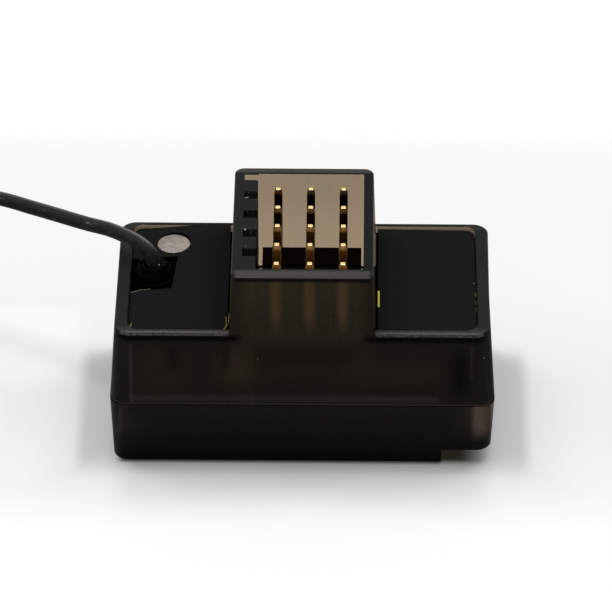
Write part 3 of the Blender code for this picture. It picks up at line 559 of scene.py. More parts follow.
@finish
def gold_plate(f, p):
    """Gold over brass: drawn grain along the pin, with painted shade darker towards the board and
    the back rows, and painted glints along the shafts' edges.
    """
    x, y, z = f.axes(p)
    draw = f.noise(f.mapped(p, (9.0, 9.0, 0.5)), 1600.0, 3.0, 0.6)
    worn = f.noise(p, 2600.0, 2.0).step(0.5, 0.75)
    low = f.split(f.normal("True Normal"))[2].fade(0.6, 0.9)
    pitch = PITCH / MM
    # Painted light on the pins' shafts: glints along their edges, orange towards the front rows
    # and the top, near black low down and at the back
    column = (x - (CONNECTOR[0] / MM - 8.5 * pitch)).modulo(pitch) - pitch / 2
    painted_edge_glint = column.size().step(0.22, 0.3)
    forward = y.fade(-5.2, 4.5)
    painted_shaft_light = (0.06 + 0.94 * forward) * (0.25 + 0.75 * z.step(14.5, 16.3)) * (0.5 + 0.9 * draw)
    painted_shaft_light = painted_shaft_light + painted_edge_glint * forward * 0.55
    shaft = f.blend(painted_shaft_light, (0.012, 0.005, 0.0015), (0.42, 0.2, 0.05))
    bare = (worn * 0.25 * (1.0 - low), (0.75, 0.42, 0.16))
    tone = f.layers(colours().gold, (low, shaft), bare)
    metal = 1.0 - low * (0.7 * forward).most(0.85 * painted_edge_glint)
    return f.plastic(tone, 0.14 + 0.12 * draw, (draw, 0.00002, 0.3), Metallic=metal)


@finish
def black_nylon(f, p):
    """Glass-filled nylon of the pin strip: matt black with faint pale fibres."""
    fibre = f.noise(f.mapped(p, (1.0, 5.0, 5.0), (0.0, 0.0, 0.5)), 2400.0, 3.0, 0.65)
    tone = f.blend(fibre.step(0.55, 0.8) * 0.5, (0.001, 0.0011, 0.0007), (0.008, 0.008, 0.006))
    relief = (fibre, 0.00003, 0.4)
    return f.plastic(tone, 0.42 + 0.3 * fibre, relief, Specular_IOR_Level=0.02)


@finish
def black_label(f, p):
    """Printed polyester label: flat black, faint orange-peel, dust specks."""
    face = colours().label
    peel = f.noise(p, 1500.0, 2.0)
    fine = f.noise(p, 14000.0, 2.0)
    dust = f.cells(p, 900.0).fade(0.04, 0.1)
    tone = f.layers(face, (peel * 0.3, times(face, 1.35)), (dust * 0.25, (0.05, 0.05, 0.048)))
    return f.plastic(tone, 0.5 + 0.12 * fine, (peel, 0.00003, 0.15), Specular_IOR_Level=0.0)


@finish
def label_liner(f, p):
    """Adhesive along a label's cut edge: yellow, dull where thin, pale where it curls."""
    x, y = f.axes(p)[:2]
    fleck = f.noise(p, 3800.0, 3.0, 0.6)
    patch = fleck.step(0.35, 0.7)
    bright = x.step(0.0, 1.0) * x.fade(6.0, 7.0)
    curl = x.fade(-11.6, -11.4) * y.step(-2.0, -1.9)
    yellow = f.blend(patch, (0.5, 0.43, 0.02), (0.85, 0.74, 0.08))
    dull = f.blend(patch, (0.035, 0.028, 0.002), (0.26, 0.21, 0.02))
    tone = f.layers(dull, (bright, yellow), (curl, (0.16, 0.13, 0.095)))
    return f.plastic(tone, 0.4 + 0.2 * fleck, Specular_IOR_Level=0.3)


@finish
def frosted_lens(f, p):
    """Frosted light window: grainy, speckled like ground glass, with painted shade darker at one
    side.
    """
    frost = colours().frost
    x, y = f.axes(p)[:2]
    grain = f.noise(p, 5200.0, 3.0, 0.75)
    cloud = f.noise(p, 1700.0, 3.0, 0.7)
    crystals = f.cells(p, 7000.0)
    painted_side_shade = ((LENS[0] / MM - x) + (y - LENS[1] / MM) * 1.4).step(0.0, 1.6)
    tone = f.layers(
        times(frost, 0.6),
        (grain.step(0.3, 0.7), frost),
        (cloud.step(0.4, 0.6) * 0.8, (0.25, 0.205, 0.19)),
        (painted_side_shade * 0.45, (0.17, 0.15, 0.14)),
        (crystals.fade(0.05, 0.4) * 0.3, (0.62, 0.6, 0.57)),
    )
    relief = (grain + crystals * 0.4, 0.00005, 0.7)
    return f.plastic(tone, 0.45 + 0.3 * grain, relief, Specular_IOR_Level=0.25)


@finish
def black_rubber(f, p):
    """Soft rubber of the collar: deep black, slightly greasy folds, grey dust."""
    skin = f.noise(p, 2100.0, 4.0, 0.65)
    fold = f.noise(f.mapped(p, (1.0, 1.0, 3.0)), 900.0, 2.0)
    dust = f.noise(p, 9000.0, 2.0).step(0.6, 0.75)
    tone = f.blend(dust * 0.3, (0.0005, 0.0006, 0.0005), (0.012, 0.013, 0.012))
    relief = (skin + fold * 2.0, 0.00012, 0.55)
    return f.plastic(tone, 0.22 + 0.4 * skin, relief, Specular_IOR_Level=0.015)


@finish
def cable_jacket(f, p):
    """Cable jacket: matt rubber, pale chalky scuffs and fine lengthwise scratches; painted shade
    on its underside and a painted highlight along its upper side.
    """
    jacket = colours().jacket
    skin = f.noise(p, 5200.0, 3.0, 0.6)
    patch = f.noise(p, 420.0, 3.0, 0.6)
    scratch = f.noise(f.mapped(p, (0.35, 1.0, 3.2), (0.0, 0.25, 0.45)), 2600.0, 4.0, 0.75)
    chalk = scratch.step(0.56, 0.74) * patch.step(0.42, 0.62)
    # The direction that the painted highlight faces
    normal = f.normal()
    towards = {0: normal, 1: (0.42, 0.3, 0.857)}
    painted_highlight = f.node("VectorMath", {"operation": "DOT_PRODUCT"}, towards, 1)
    tone = f.layers(
        jacket,
        (skin * 0.5, times(jacket, 1.7)),
        # Painted shade on the underside, painted highlights along the upper side
        (f.split(normal)[2].fade(0.1, 0.9) * 0.6, (0.001,) * 3),
        (painted_highlight.step(0.7, 0.97) * 0.8, (0.1, 0.1, 0.09)),
        (painted_highlight.step(0.965, 0.995) * (0.3 + 0.9 * skin), (0.3, 0.28, 0.23)),
        (chalk * 0.75, (0.3, 0.3, 0.28)),
    )
    relief = (skin * 0.5 + scratch, 0.00005, 0.45)
    return f.plastic(tone, 0.5 + 0.2 * skin, relief, Specular_IOR_Level=0.1)


@finish
def cable_core(f, p):
    """Bare inner insulation of the antenna's end: milky, with a faint twist."""
    twist = f.noise(p, 3000.0, 2.0)
    tone = f.blend(twist, (0.52, 0.51, 0.47), (0.66, 0.65, 0.6))
    return f.plastic(tone, 0.3 + 0.2 * twist, Specular_IOR_Level=0.4)


@finish
def solder_mask(f, p):
    """Circuit board: green mask over tracks, bare tinned pads, printed dots."""
    board = colours().board
    weave = f.noise(f.mapped(p, (1.0, 4.0, 1.0)), 2600.0, 2.0)
    track = f.cells(f.mapped(p, (1.0, 0.35, 1.0)), 700.0, "DISTANCE_TO_EDGE").step(0.03, 0.06)
    pad = f.cells(p, 560.0).fade(0.16, 0.2)
    tone = f.layers(
        board,
        (1.0 - track, times(board, 1.9)),
        (weave * 0.25, times(board, 0.6)),
        (pad, (0.55, 0.53, 0.48)),
    )
    relief = (track * 0.5 + pad, 0.00003, 0.5)
    return f.plastic(tone, 0.3 + 0.25 * weave, relief, Metallic=pad * 0.9)


def epoxy(f, p):
    """Grain and colour of moulded chip bodies."""
    grain = f.noise(p, 8000.0, 3.0, 0.7)
    return grain, f.blend(grain * 0.6, (0.012, 0.012, 0.0125), (0.03, 0.03, 0.031))


def tin(f, p, amount=None):
    """Brushed grain and colour of tinned metal."""
    brush = f.noise(f.mapped(p, (0.3, 8.0, 1.0)), 1400.0, 3.0)
    return brush, f.blend(amount or brush, (0.5, 0.5, 0.48), (0.68, 0.67, 0.64))


@finish
def chip_black(f, p):
    """Moulded epoxy of the chips: fine matt grain with greyer patches."""
    grain, tone = epoxy(f, p)
    bloom = f.noise(p, 500.0, 2.0).step(0.55, 0.8)
    tone = f.blend(bloom * 0.3, tone, (0.055, 0.054, 0.052))
    return f.plastic(tone, 0.5 + 0.2 * grain, (grain, 0.00003, 0.5), Specular_IOR_Level=0.3)


@finish
def leaded_chip(f, p):
    """The processor: matt epoxy body, tinned legs along its two long sides."""
    low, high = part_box("microcontroller")
    off = (f.split(p)[1] - (low.y + high.y) / 2).size()
    body = (high.y - low.y) / 2 - CHIP_LEG_REACH
    leg = off.step(body, body + 0.02 * MM)
    grain, tone = epoxy(f, p)
    tone = f.blend(leg, tone, tin(f, p)[1])
    rough = 0.5 + 0.2 * grain - leg * 0.2
    return f.plastic(tone, rough, (grain, 0.00003, 0.4), Metallic=leg)


@finish
def plated_tin(f, p):
    """Tinned steel: brushed and cloudy."""
    cloud = f.noise(p, 420.0, 3.0)
    brush, tone = tin(f, p, cloud)
    rough = 0.24 + 0.2 * brush + 0.1 * cloud
    return f.plastic(tone, rough, (brush, 0.00002, 0.4), Metallic=1.0)


@finish
def can_aluminium(f, p):
    """Anodised capacitor can: bright, finely drawn, with a dark polarity patch."""
    draw = f.noise(f.mapped(p, (1.0, 1.0, 9.0)), 900.0, 2.0)
    patch = f.axes(p)[0].step(9.2, 9.3)
    tone = f.blend(draw, (0.6, 0.6, 0.61), (0.75, 0.75, 0.76))
    tone = f.blend(patch * 0.9, tone, (0.02, 0.02, 0.022))
    return f.plastic(tone, 0.25 + 0.2 * draw, Metallic=1.0 - patch)


@finish
def tantalum_yellow(f, p):
    """Moulded tantalum capacitor: ochre resin with a burnt polarity band."""
    grain = f.noise(p, 6000.0, 3.0)
    burnt = f.axes(p)[0].fade(-10.8, -10.75)
    tone = f.blend(grain, (0.5, 0.27, 0.05), (0.7, 0.4, 0.09))
    tone = f.blend(burnt * 0.85, tone, (0.16, 0.06, 0.02))
    return f.plastic(tone, 0.42 + 0.15 * grain, (grain, 0.00002, 1.0))


@finish
def led_body(f, p):
    """Status light: milky resin over a pale ceramic base."""
    cloud = f.noise(p, 2500.0, 2.0)
    tone = f.blend(f.axes(p)[2].step(8.45, 8.55), (0.75, 0.73, 0.66), (0.9, 0.86, 0.72))
    tone = f.blend(cloud * 0.3, tone, (0.6, 0.6, 0.5))
    return f.plastic(tone, 0.35 + 0.15 * cloud)


@finish
def dust_grain(f, p):
    """Pale crumbs of dust, chalky and uneven."""
    chalk = f.noise(p, 12000.0, 2.0)
    tone = f.blend(chalk, (0.35, 0.36, 0.36), (0.7, 0.71, 0.72))
    return f.plastic(tone, 0.6 + 0.3 * chalk)


@finish
def seamless_paper(f, p):
    """White paper, white where it is seen far off, with painted shadows in soft bands round the
    receiver.
    """
    x, y = f.axes(p)[:2]
    far_x = x.size()
    seen = f.rays("Camera", "Glossy", "Transmission")
    # Painted shadows on the paper: a broad band across the middle, a softer band round the
    # receiver, shade beside its two ends, shade in front of it and a dark contact shadow along its
    # front foot; the negative entry is painted light that lifts the left side
    before = (0.19 * y.step(-16.0, -9.0) + 0.16 * y.step(-9.8, -8.0)) * y.fade(-2.0, 2.0)
    painted_contact_shadow = y.step(-8.3, -7.8) * y.fade(-2.0, 2.0) * x.step(-14.6, -13.8) * x.fade(10.4, 11.0)
    painted_shadows = (
        0.08 * y.step(-17.5, -11.0) * y.fade(33.0, 43.0),
        0.05 * y.step(-12.0, -2.0) * y.fade(2.0, 16.0),
        -0.07 * x.fade(-20.0, -16.0) * y.step(0.0, 4.0) * y.fade(10.0, 14.0),
        0.26 * far_x.fade(16.8, 18.2) * y.step(-10.6, -6.8) * y.fade(4.5, 8.5),
        before * far_x.fade(12.5, 15.5),
        0.85 * painted_contact_shadow,
    )
    tone = f.blend(seen, bpy.context.scene.receiver_stage.floor_colour, WHITE)
    tone = f.blend(math.prod(1.0 - shade for shade in painted_shadows), BLACK, tone)
    fibre = f.noise(p, 900.0, 3.0)
    # Painted shade under the raised step, olive-brown as if tinted by light through the plastic
    end = x.step(9.8, 10.6) * x.fade(12.1, 14.9) * y.step(-8.3, -7.4) * y.fade(-4.0, -2.0)
    tone = f.layers(tone, (fibre * 0.02, (0.8,) * 3), (end * 0.97, (0.03, 0.028, 0.014)))
    paper = f.node("BsdfDiffuse", {}, {"Color": tone})
    fill = f.node("Emission", {}, {"Color": tone, "Strength": 1.06})
    return f.mix(seen, paper, f.mix(0.35, paper, fill))


# ---- mesh tools


def round_edges(bm, edges, radius, steps):
    """Rounds the given edges."""
    bmesh.ops.bevel(
        bm, geom=edges, offset=radius, affect="EDGES", segments=steps, profile=0.5, material=-1
    )


def moved(bm, x, y, z=0.0):
    """The same bmesh at another place."""
    bmesh.ops.translate(bm, verts=bm.verts, vec=(x, y, z))
    return bm


def drafted(
    foot, top, z0, z1, corner=0.0, crown=0.0, sole=0.0, steps=None, centre=(0.0, 0.0), front=None
):
    """A block between two heights, with upright corners, crown and sole rounded."""
    steps = steps or bpy.context.scene.receiver_shape.corner_steps
    bm = bmesh.new()
    bmesh.ops.create_cube(bm, size=2.0)
    for v in bm.verts:
        half, z = (top, z1) if v.co.z > 0 else (foot, z0)
        v.co = Vector((v.co.x * half[0], v.co.y * half[1], z))
    if corner:
        for radius, side in ((corner, 1), (front or corner, -1)):
            upright = [
                e
                for e in bm.edges
                if abs(e.verts[0].co.z - e.verts[1].co.z) > (z1 - z0) / 2
                and side * e.verts[0].co.y > top[1] / 2
            ]
            round_edges(bm, upright, radius, steps)
    for radius, z in ((crown, z1), (sole, z0)):
        if radius:
            rim = [e for e in bm.edges if all(abs(v.co.z - z) < 1e-7 for v in e.verts)]
            round_edges(bm, rim, radius, max(2, steps // 2))
    return moved(bm, *centre)


def prism(half, z0, z1, corner=0.0, **more):
    """A block with upright walls."""
    return drafted(half, half, z0, z1, corner, **more)


def hollow(outline, z0, z1, inset, corner):
    """What a shell's outline holds inside a wall, between two heights."""
    return drafted(outline(z0, inset), outline(z1, inset), z0, z1, corner)


def mouth(half, z, nick, corner, **more):
    """What a chamfer takes from the mouth of a hole that opens at a height."""
    return drafted(
        grown(half, -nick), grown(half, MM), z - 2 * nick, z + MM - nick, corner, **more
    )


def block(x0, x1, y0, y1, z0, z1):
    """A plain block between six planes, for cutting or joining."""
    half = ((x1 - x0) / 2, (y1 - y0) / 2)
    return prism(half, z0, z1, centre=((x0 + x1) / 2, (y0 + y1) / 2))


def eased(x0, x1, y0, y1, z0, z1, radius, steps=2):
    """A block with all its edges rounded."""
    bm = block(x0, x1, y0, y1, z0, z1)
    round_edges(bm, list(bm.edges), radius, steps)
    return bm


def rod(diameter, z0, z1, centre=(0.0, 0.0), steps=48):
    """An upright cylinder."""
    bm = bmesh.new()
    r = diameter / 2
    bmesh.ops.create_cone(bm, cap_ends=True, segments=steps, radius1=r, radius2=r, depth=z1 - z0)
    return moved(bm, *centre, (z0 + z1) / 2)


def lathed(points, centre, steps):
    """A closed shape turned round an upright axis from its outline of (radius, z)."""
    bm = bmesh.new()
    verts = [bm.verts.new((r, 0.0, z)) for r, z in points]
    edges = [bm.edges.new(pair) for pair in zip(verts, verts[1:])]
    if points[0][0] > 0 and points[-1][0] > 0:
        edges.append(bm.edges.new((verts[-1], verts[0])))
    bmesh.ops.spin(
        bm,
        geom=verts + edges,
        cent=(0.0, 0.0, 0.0),
        axis=(0.0, 0.0, 1.0),
        angle=2 * math.pi,
        steps=steps,
        use_merge=True,
    )
    bmesh.ops.remove_doubles(bm, verts=bm.verts, dist=1e-7)
    bmesh.ops.recalc_face_normals(bm, faces=bm.faces)
    return moved(bm, *centre)


def arc(centre, radius, start, end, steps):
    """Points along an arc, angles in degrees."""
    turns = [math.radians(start + (end - start) * i / steps) for i in range(steps + 1)]
    return [(centre[0] + radius * math.cos(a), centre[1] + radius * math.sin(a)) for a in turns]


def shown(ob):
    """Puts an object in the scene."""
    bpy.context.scene.collection.objects.link(ob)
    return ob


def as_mesh(bm, name):
    """A mesh from a bmesh, which ends with it."""
    data = bpy.data.meshes.new(name)
    bm.to_mesh(data)
    bm.free()
    return data


def cut(*tools):
    """Steps that take solids from a body."""
    return [("DIFFERENCE", bm) for bm in tools]


def join(*tools):
    """Steps that join solids to a body."""
    return [("UNION", bm) for bm in tools]


def combined(body, steps):
    """A body after steps of cutting and joining."""
    work = shown(bpy.data.objects.new("work", as_mesh(body, "work")))
    tools = []
    for operation, bm in steps:
        tools.append(shown(bpy.data.objects.new("tool", as_mesh(bm, "tool"))))
        mod = work.modifiers.new("step", "BOOLEAN")
        mod.operation = operation
        mod.object = tools[-1]
        mod.solver = "EXACT"
    depsgraph = bpy.context.evaluated_depsgraph_get()
    data = bpy.data.meshes.new_from_object(work.evaluated_get(depsgraph))
    bm = bmesh.new()
    bm.from_mesh(data)
    bpy.data.meshes.remove(data)
    for ob in (work, *tools):
        mesh = ob.data
        bpy.data.objects.remove(ob)
        bpy.data.meshes.remove(mesh)
    bmesh.ops.remove_doubles(bm, verts=bm.verts, dist=2e-7)
    bmesh.ops.dissolve_degenerate(bm, edges=bm.edges, dist=2e-7)
    return bm


def merged(parts):
    """Several bmeshes as one."""
    whole = bmesh.new()
    for bm in parts:
        data = as_mesh(bm, "part")
        whole.from_mesh(data)
        bpy.data.meshes.remove(data)
    return whole


def piece(name, bm, material, replaces=(), sharp=40.0, weighted=False):
    """A finished piece of the receiver on its body, in place of its CAD nodes."""
    data = as_mesh(bm, name)
    data.materials.append(material)
    data.shade_smooth()
    data.set_sharp_from_angle(angle=math.radians(sharp))
    ob = shown(bpy.data.objects.new(name, data))
    if weighted:
        ob.modifiers.new("flat faces", "WEIGHTED_NORMAL").keep_sharp = True
    return settled(ob, replaces)


def settled(ob, replaces=()):
    """Puts a piece on the receiver's body and hides the CAD nodes that it replaces."""
    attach(ob, "root")
    if replaces:
        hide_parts(*replaces)
    return ob


def dressed(name, material):
    """Gives a CAD node that stays its finish."""
    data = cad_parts[name].data
    data.materials.clear()
    data.materials.append(material)


# ---- stage


class RECEIVER_OT_stage(bpy.types.Operator):
    """Adds the camera, the white floor, the soft lamps and the even sky"""

    bl_idname = "receiver.stage"
    bl_label = "Stage"

    def execute(self, context):
        scene = context.scene
        levels = scene.receiver_stage
        camera = bpy.data.cameras.new("camera")
        camera.lens = CAMERA_LENS
        camera.sensor_width = 36.0
        camera.clip_start = 0.01
        view = shown(bpy.data.objects.new("camera", camera))
        self.aim(view, CAMERA_PLACE, CAMERA_AIM)
        scene.camera = view

        for name, place in STRIPS:
            lamp = bpy.data.lights.new(name, "AREA")
            lamp.shape = "RECTANGLE"
            lamp.size, lamp.size_y = STRIP_SIZE
            lamp.energy = levels.strip_power
            self.aim(shown(bpy.data.objects.new(name, lamp)), Vector(place), Vector())

        scene.world = bpy.data.worlds.new("studio")
        g = Graph(scene.world)
        sky, seen = (
            g.node("Background", {}, {"Color": WHITE, "Strength": strength})
            for strength in (levels.sky, BACKDROP)
        )
        g.done(g.mix(g.rays("Camera", "Glossy"), sky, seen), "World")

        bm = bmesh.new()
        bmesh.ops.create_grid(bm, x_segments=1, y_segments=1, size=FLOOR_HALF)
        data = as_mesh(bm, "floor")
        data.materials.append(seamless_paper())
        floor = shown(bpy.data.objects.new("floor", data))
        scene.view_settings.view_transform = "Standard"
        return {"FINISHED"}

    @staticmethod
    def aim(ob, place, target):
        """Puts a camera or a lamp at a place and turns it to a target."""
        ob.location = place
        ob.rotation_euler = (target - place).to_track_quat("-Z", "Y").to_euler()


# ---- antenna


def eased_share(t):
    """0 to 1 with a soft start and end."""
    t = min(1.0, max(0.0, t))
    return t * t * (3 - 2 * t)


def coil_point(turn):
    """The cable's radius and height in its coil, for the degrees since it arrived.

    The first turn lies on top, the second inside on the floor, the third outside.
    """
    d = CABLE_DIAMETER
    outer, inner = COIL_RADIUS + d / 2, COIL_RADIUS - d / 2
    crown = d / 2 + d * math.sin(math.radians(60))
    if turn < 360:
        # It rises where it passes over itself, and comes down as it arrives
        hump = math.exp(-(((turn - 315) / 38) ** 2))
        r = COIL_RADIUS
        z = crown + 0.17 * d * hump + (1 - eased_share(turn / 62)) * (3.0 * MM - crown)
    elif turn < 425:
        # It rolls over the lower turn to the floor
        a = math.radians(120 + 60 * (turn - 360) / 65)
        r, z = outer + d * 1.01 * math.cos(a), d / 2 + d * 1.01 * math.sin(a)
    else:
        out = eased_share((turn - 650) / 50)
        away = 1.02 * d * eased_share((turn - 1005) / 45)
        r, z = inner + (outer - inner) * out + away, d / 2
    return r, max(z, d / 2)


def round_coil(turn, r, z):
    """A place at some degrees round the coil."""
    a = math.radians(COIL_START + turn)
    return Vector((COIL_CENTRE[0] + r * math.cos(a), COIL_CENTRE[1] + r * math.sin(a), z))


def coil_line():
    """Points round the coil, from where the cable arrives."""
    count = math.ceil(COIL_TURN / COIL_STEP)
    turns = [COIL_TURN * i / count for i in range(count + 1)]
    return [round_coil(turn, *coil_point(turn)) for turn in turns]


def whip_line(count=48):
    """Points along the bare end, which goes on round the coil and sinks to the floor."""
    reach = coil_point(COIL_TURN)[0]
    points = []
    for i in range(count + 1):
        turned = WHIP_LENGTH / WHIP_RADIUS * i / count
        share = eased_share(turned / 0.6)
        r = reach + (WHIP_RADIUS - reach) * share
        z = CABLE_DIAMETER / 2 + (WHIP_DIAMETER - CABLE_DIAMETER) / 2 * share
        points.append(round_coil(COIL_TURN + math.degrees(turned), r, z))
    return points


def curve_through(knots, pieces=6):
    """A smooth line through the knots, with a few points between each two."""
    knots = [Vector(k) for k in knots]
    ends = [2 * knots[0] - knots[1], *knots, 2 * knots[-1] - knots[-2]]
    line = []
    for a, b, c, d in zip(ends, ends[1:], ends[2:], ends[3:]):
        for i in range(pieces):
            t = i / pieces
            line.append(
                0.5 * (2 * b + (c - a) * t + (2 * a - 5 * b + 4 * c - d) * t**2)
                + 0.5 * (3 * b - a - 3 * c + d) * t**3
            )
    line.append(knots[-1])
    return line


def cable(name, points, diameter, material):
    """A round cable along a line of points."""
    data = bpy.data.curves.new(name, "CURVE")
    data.dimensions = "3D"
    data.bevel_depth = diameter / 2
    data.bevel_resolution = 6
    data.use_fill_caps = True
    data.materials.append(material)
    spline = data.splines.new("POLY")
    spline.points.add(len(points) - 1)
    for point, place in zip(spline.points, points):
        point.co = (*place, 1.0)
    spline.use_smooth = True
    return shown(bpy.data.objects.new(name, data))


def run_length(points):
    return sum((b - a).length for a, b in zip(points, points[1:]))


class RECEIVER_OT_antenna(bpy.types.Operator):
    """Adds the antenna cable with its coil on the floor, and its bare end"""

    bl_idname = "receiver.antenna"
    bl_label = "Antenna"

    def execute(self, context):
        turns = coil_line()
        # The coil's first points lead the curve into it, and are left out again
        lead = curve_through([*CABLE_ROUTE, turns[0], turns[2], turns[4]])[: -2 * 6 - 1]
        line = lead + turns
        jacket = cable("antenna_cable", line, CABLE_DIAMETER, cable_jacket())
        settled(jacket, ("antenna_lead", "antenna_coil"))
        bare = cable("antenna_whip_end", whip_line(), WHIP_DIAMETER, cable_core())
        settled(bare, ("antenna_whip",))
        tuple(line[0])
        run_length(line)
        return {"FINISHED"}


class RECEIVER_OT_collar(bpy.types.Operator):
    """Adds the soft rubber bead that the cable comes out of"""

    bl_idname = "receiver.collar"
    bl_label = "Collar"

    def execute(self, context):
        # Radius and height over the pocket's floor, in millimetres
        outline = (
            (0.5, 0.95),
            (0.62, 1.2),
            *arc((0.85, 1.0), 0.3, 100, 20, 5),
            (1.22, 0.85),
            *arc((1.1, 0.5), 0.35, 40, -60, 5),
            (1.45, 0.14),
            (1.5, 0.08),
            (1.42, 0.02),
            (0.9, 0.01),
            (0.9, -1.0),
            (1.4, -1.05),
            (1.4, -1.5),
            (0.5, -1.5),
        )
        bm = lathed([(r * MM, POCKET_Z + h * MM) for r, h in outline], (0.0, 0.0), 72)
        for v in bm.verts:
            lift = (v.co.z - POCKET_Z) / (1.2 * MM)
            if lift > 0:
                lump = noise.noise(v.co * 900.0) * 0.12 + noise.noise(v.co * 2300.0) * 0.05
                out = Vector((v.co.x, v.co.y, 0.0))
                if out.length > 0.7 * MM:
                    v.co += out.normalized() * lump * MM
                v.co += Vector((-0.12, 0.1, lump * 0.8)) * MM * lift
        moved(bm, *COLLAR)
        ob = piece("collar_bead", bm, black_rubber(), ("antenna_collar",), 80.0)
        mod = ob.modifiers.new("soft", "SUBSURF")
        mod.levels = mod.render_levels = 1
        dressed("antenna_tail", cable_jacket())
        return {"FINISHED"}


# ---- shells


def posts(z0, z1):
    """Four square posts over or under the corners of the board."""
    for sx, sy in ((-1, -1), (1, -1), (1, 1), (-1, 1)):
        yield prism(POST_HALF, z0, z1, 0.2 * MM, steps=4, centre=(sx * POST_X, sy * POST_Y))


class RECEIVER_OT_upper_shell(bpy.types.Operator):
    """Adds the upper shell with its tower, well, key slots and label pockets"""

    bl_idname = "receiver.upper_shell"
    bl_label = "Upper shell"

    def execute(self, context):
        shape = context.scene.receiver_shape
        z0 = SEAM_Z + shape.seam_gap / 2
        fillet, nick = shape.rim_fillet, shape.edge_break
        body = drafted(
            upper_half(z0), SHOULDER_TOP, z0, SHOULDER_Z, OUTER_CORNER, fillet, 0.02 * MM
        )
        for v in body.verts:
            if v.co.x > 0.0:
                rise = (v.co.z - z0) / (SHOULDER_Z - z0)
                v.co.x -= END_TAPER * (v.co.y - END_TAPER_FROM) * (1.0 - rise)
                v.co.x += SHOULDER_TAPER * min(0.0, v.co.y) * rise

        y0 = -SHOULDER_TOP[1] + POCKET_FRONT_RIM
        y1 = SHOULDER_TOP[1] - POCKET_BACK_RIM
        half = (SHOULDER_TOP[0] - POCKET_SIDE_RIM, (y1 - y0) / 2)
        middle = (0.0, (y0 + y1) / 2)
        pocket = prism(half, POCKET_Z, SHOULDER_Z + MM, POCKET_CORNER, centre=middle)
        for v in pocket.verts:
            if v.co.y < 0.0:
                v.co.y -= POCKET_SPLAY * (half[0] - v.co.x)
        lip = mouth(half, SHOULDER_Z, nick, POCKET_CORNER, centre=middle)

        # The tower's front and back lie flush with the shell's drafted walls
        foot_z = POCKET_Z - ROOF / 2
        flush_z = SHOULDER_Z - 1.3 * fillet
        slope = (upper_half(flush_z)[1] - TOWER_RIM[1]) / (RIM_Z - flush_z)
        foot = (
            TOWER_SIDE + TOWER_DRAFT * (SHOULDER_Z - foot_z),
            TOWER_RIM[1] + slope * (RIM_Z - foot_z),
        )
        tower = drafted(
            foot, TOWER_RIM, foot_z, RIM_Z, TOWER_CORNER, fillet, front=TOWER_FRONT_CORNER
        )

        low = hollow(upper_half, z0 - MM, SOLDER_Z, WALL, INNER_CORNER)
        outer, inner = upper_half(SOLDER_Z, WALL), upper_half(CEILING_Z, WALL)
        bays = [
            drafted(
                ((outer[0] - TOWER_SIDE) / 2, outer[1]),
                ((inner[0] - TOWER_SIDE) / 2, inner[1]),
                SOLDER_Z - MM / 2,
                CEILING_Z,
                INNER_CORNER,
                centre=(sign * (TOWER_SIDE + outer[0]) / 2, 0.0),
            )
            for sign in (-1, 1)
        ]
        around = {"steps": 4, "centre": CONNECTOR}
        well = prism(WELL_HALF, SOLDER_Z - MM, RIM_Z + MM, WELL_CORNER, **around)
        rim = mouth(WELL_HALF, RIM_Z, nick, WELL_CORNER, **around)
        keys = []
        for row in range(ROWS):
            narrow = LAST_KEY_NARROWER if row == ROWS - 1 else 0.0
            y = CONNECTOR[1] + (row - (ROWS - 1) / 2) * KEY_PITCH + KEY_OFFSET - narrow
            place = (CONNECTOR[0] - WELL_HALF[0], y)
            half_key = (KEY_DEPTH, KEY_WIDTH / 2 - narrow)
            key = prism(half_key, HEADER_Z, RIM_Z + MM, 0.08 * MM, steps=3, centre=place)
            keys.append(key)
        lap = hollow(upper_half, z0 - MM, SEAM_Z + LAP_HEIGHT, SKIRT_WALL, LAP_CORNER)
        holes = [
            rod(diameter, CEILING_Z - MM, POCKET_Z + MM, centre)
            for centre, diameter in ((LENS, LENS_DIAMETER + 0.3 * MM), (COLLAR, 2.2 * MM))
        ]
        steps = cut(pocket, lip) + join(tower) + cut(low, *bays, well, rim, *keys)
        steps += join(*posts(SOLDER_Z, CEILING_Z + ROOF / 2)) + cut(lap, *holes)
        bm = combined(body, steps)
        piece("upper_shell", bm, smoked_shell(), ("upper_case",), 35.0, True)
        return {"FINISHED"}


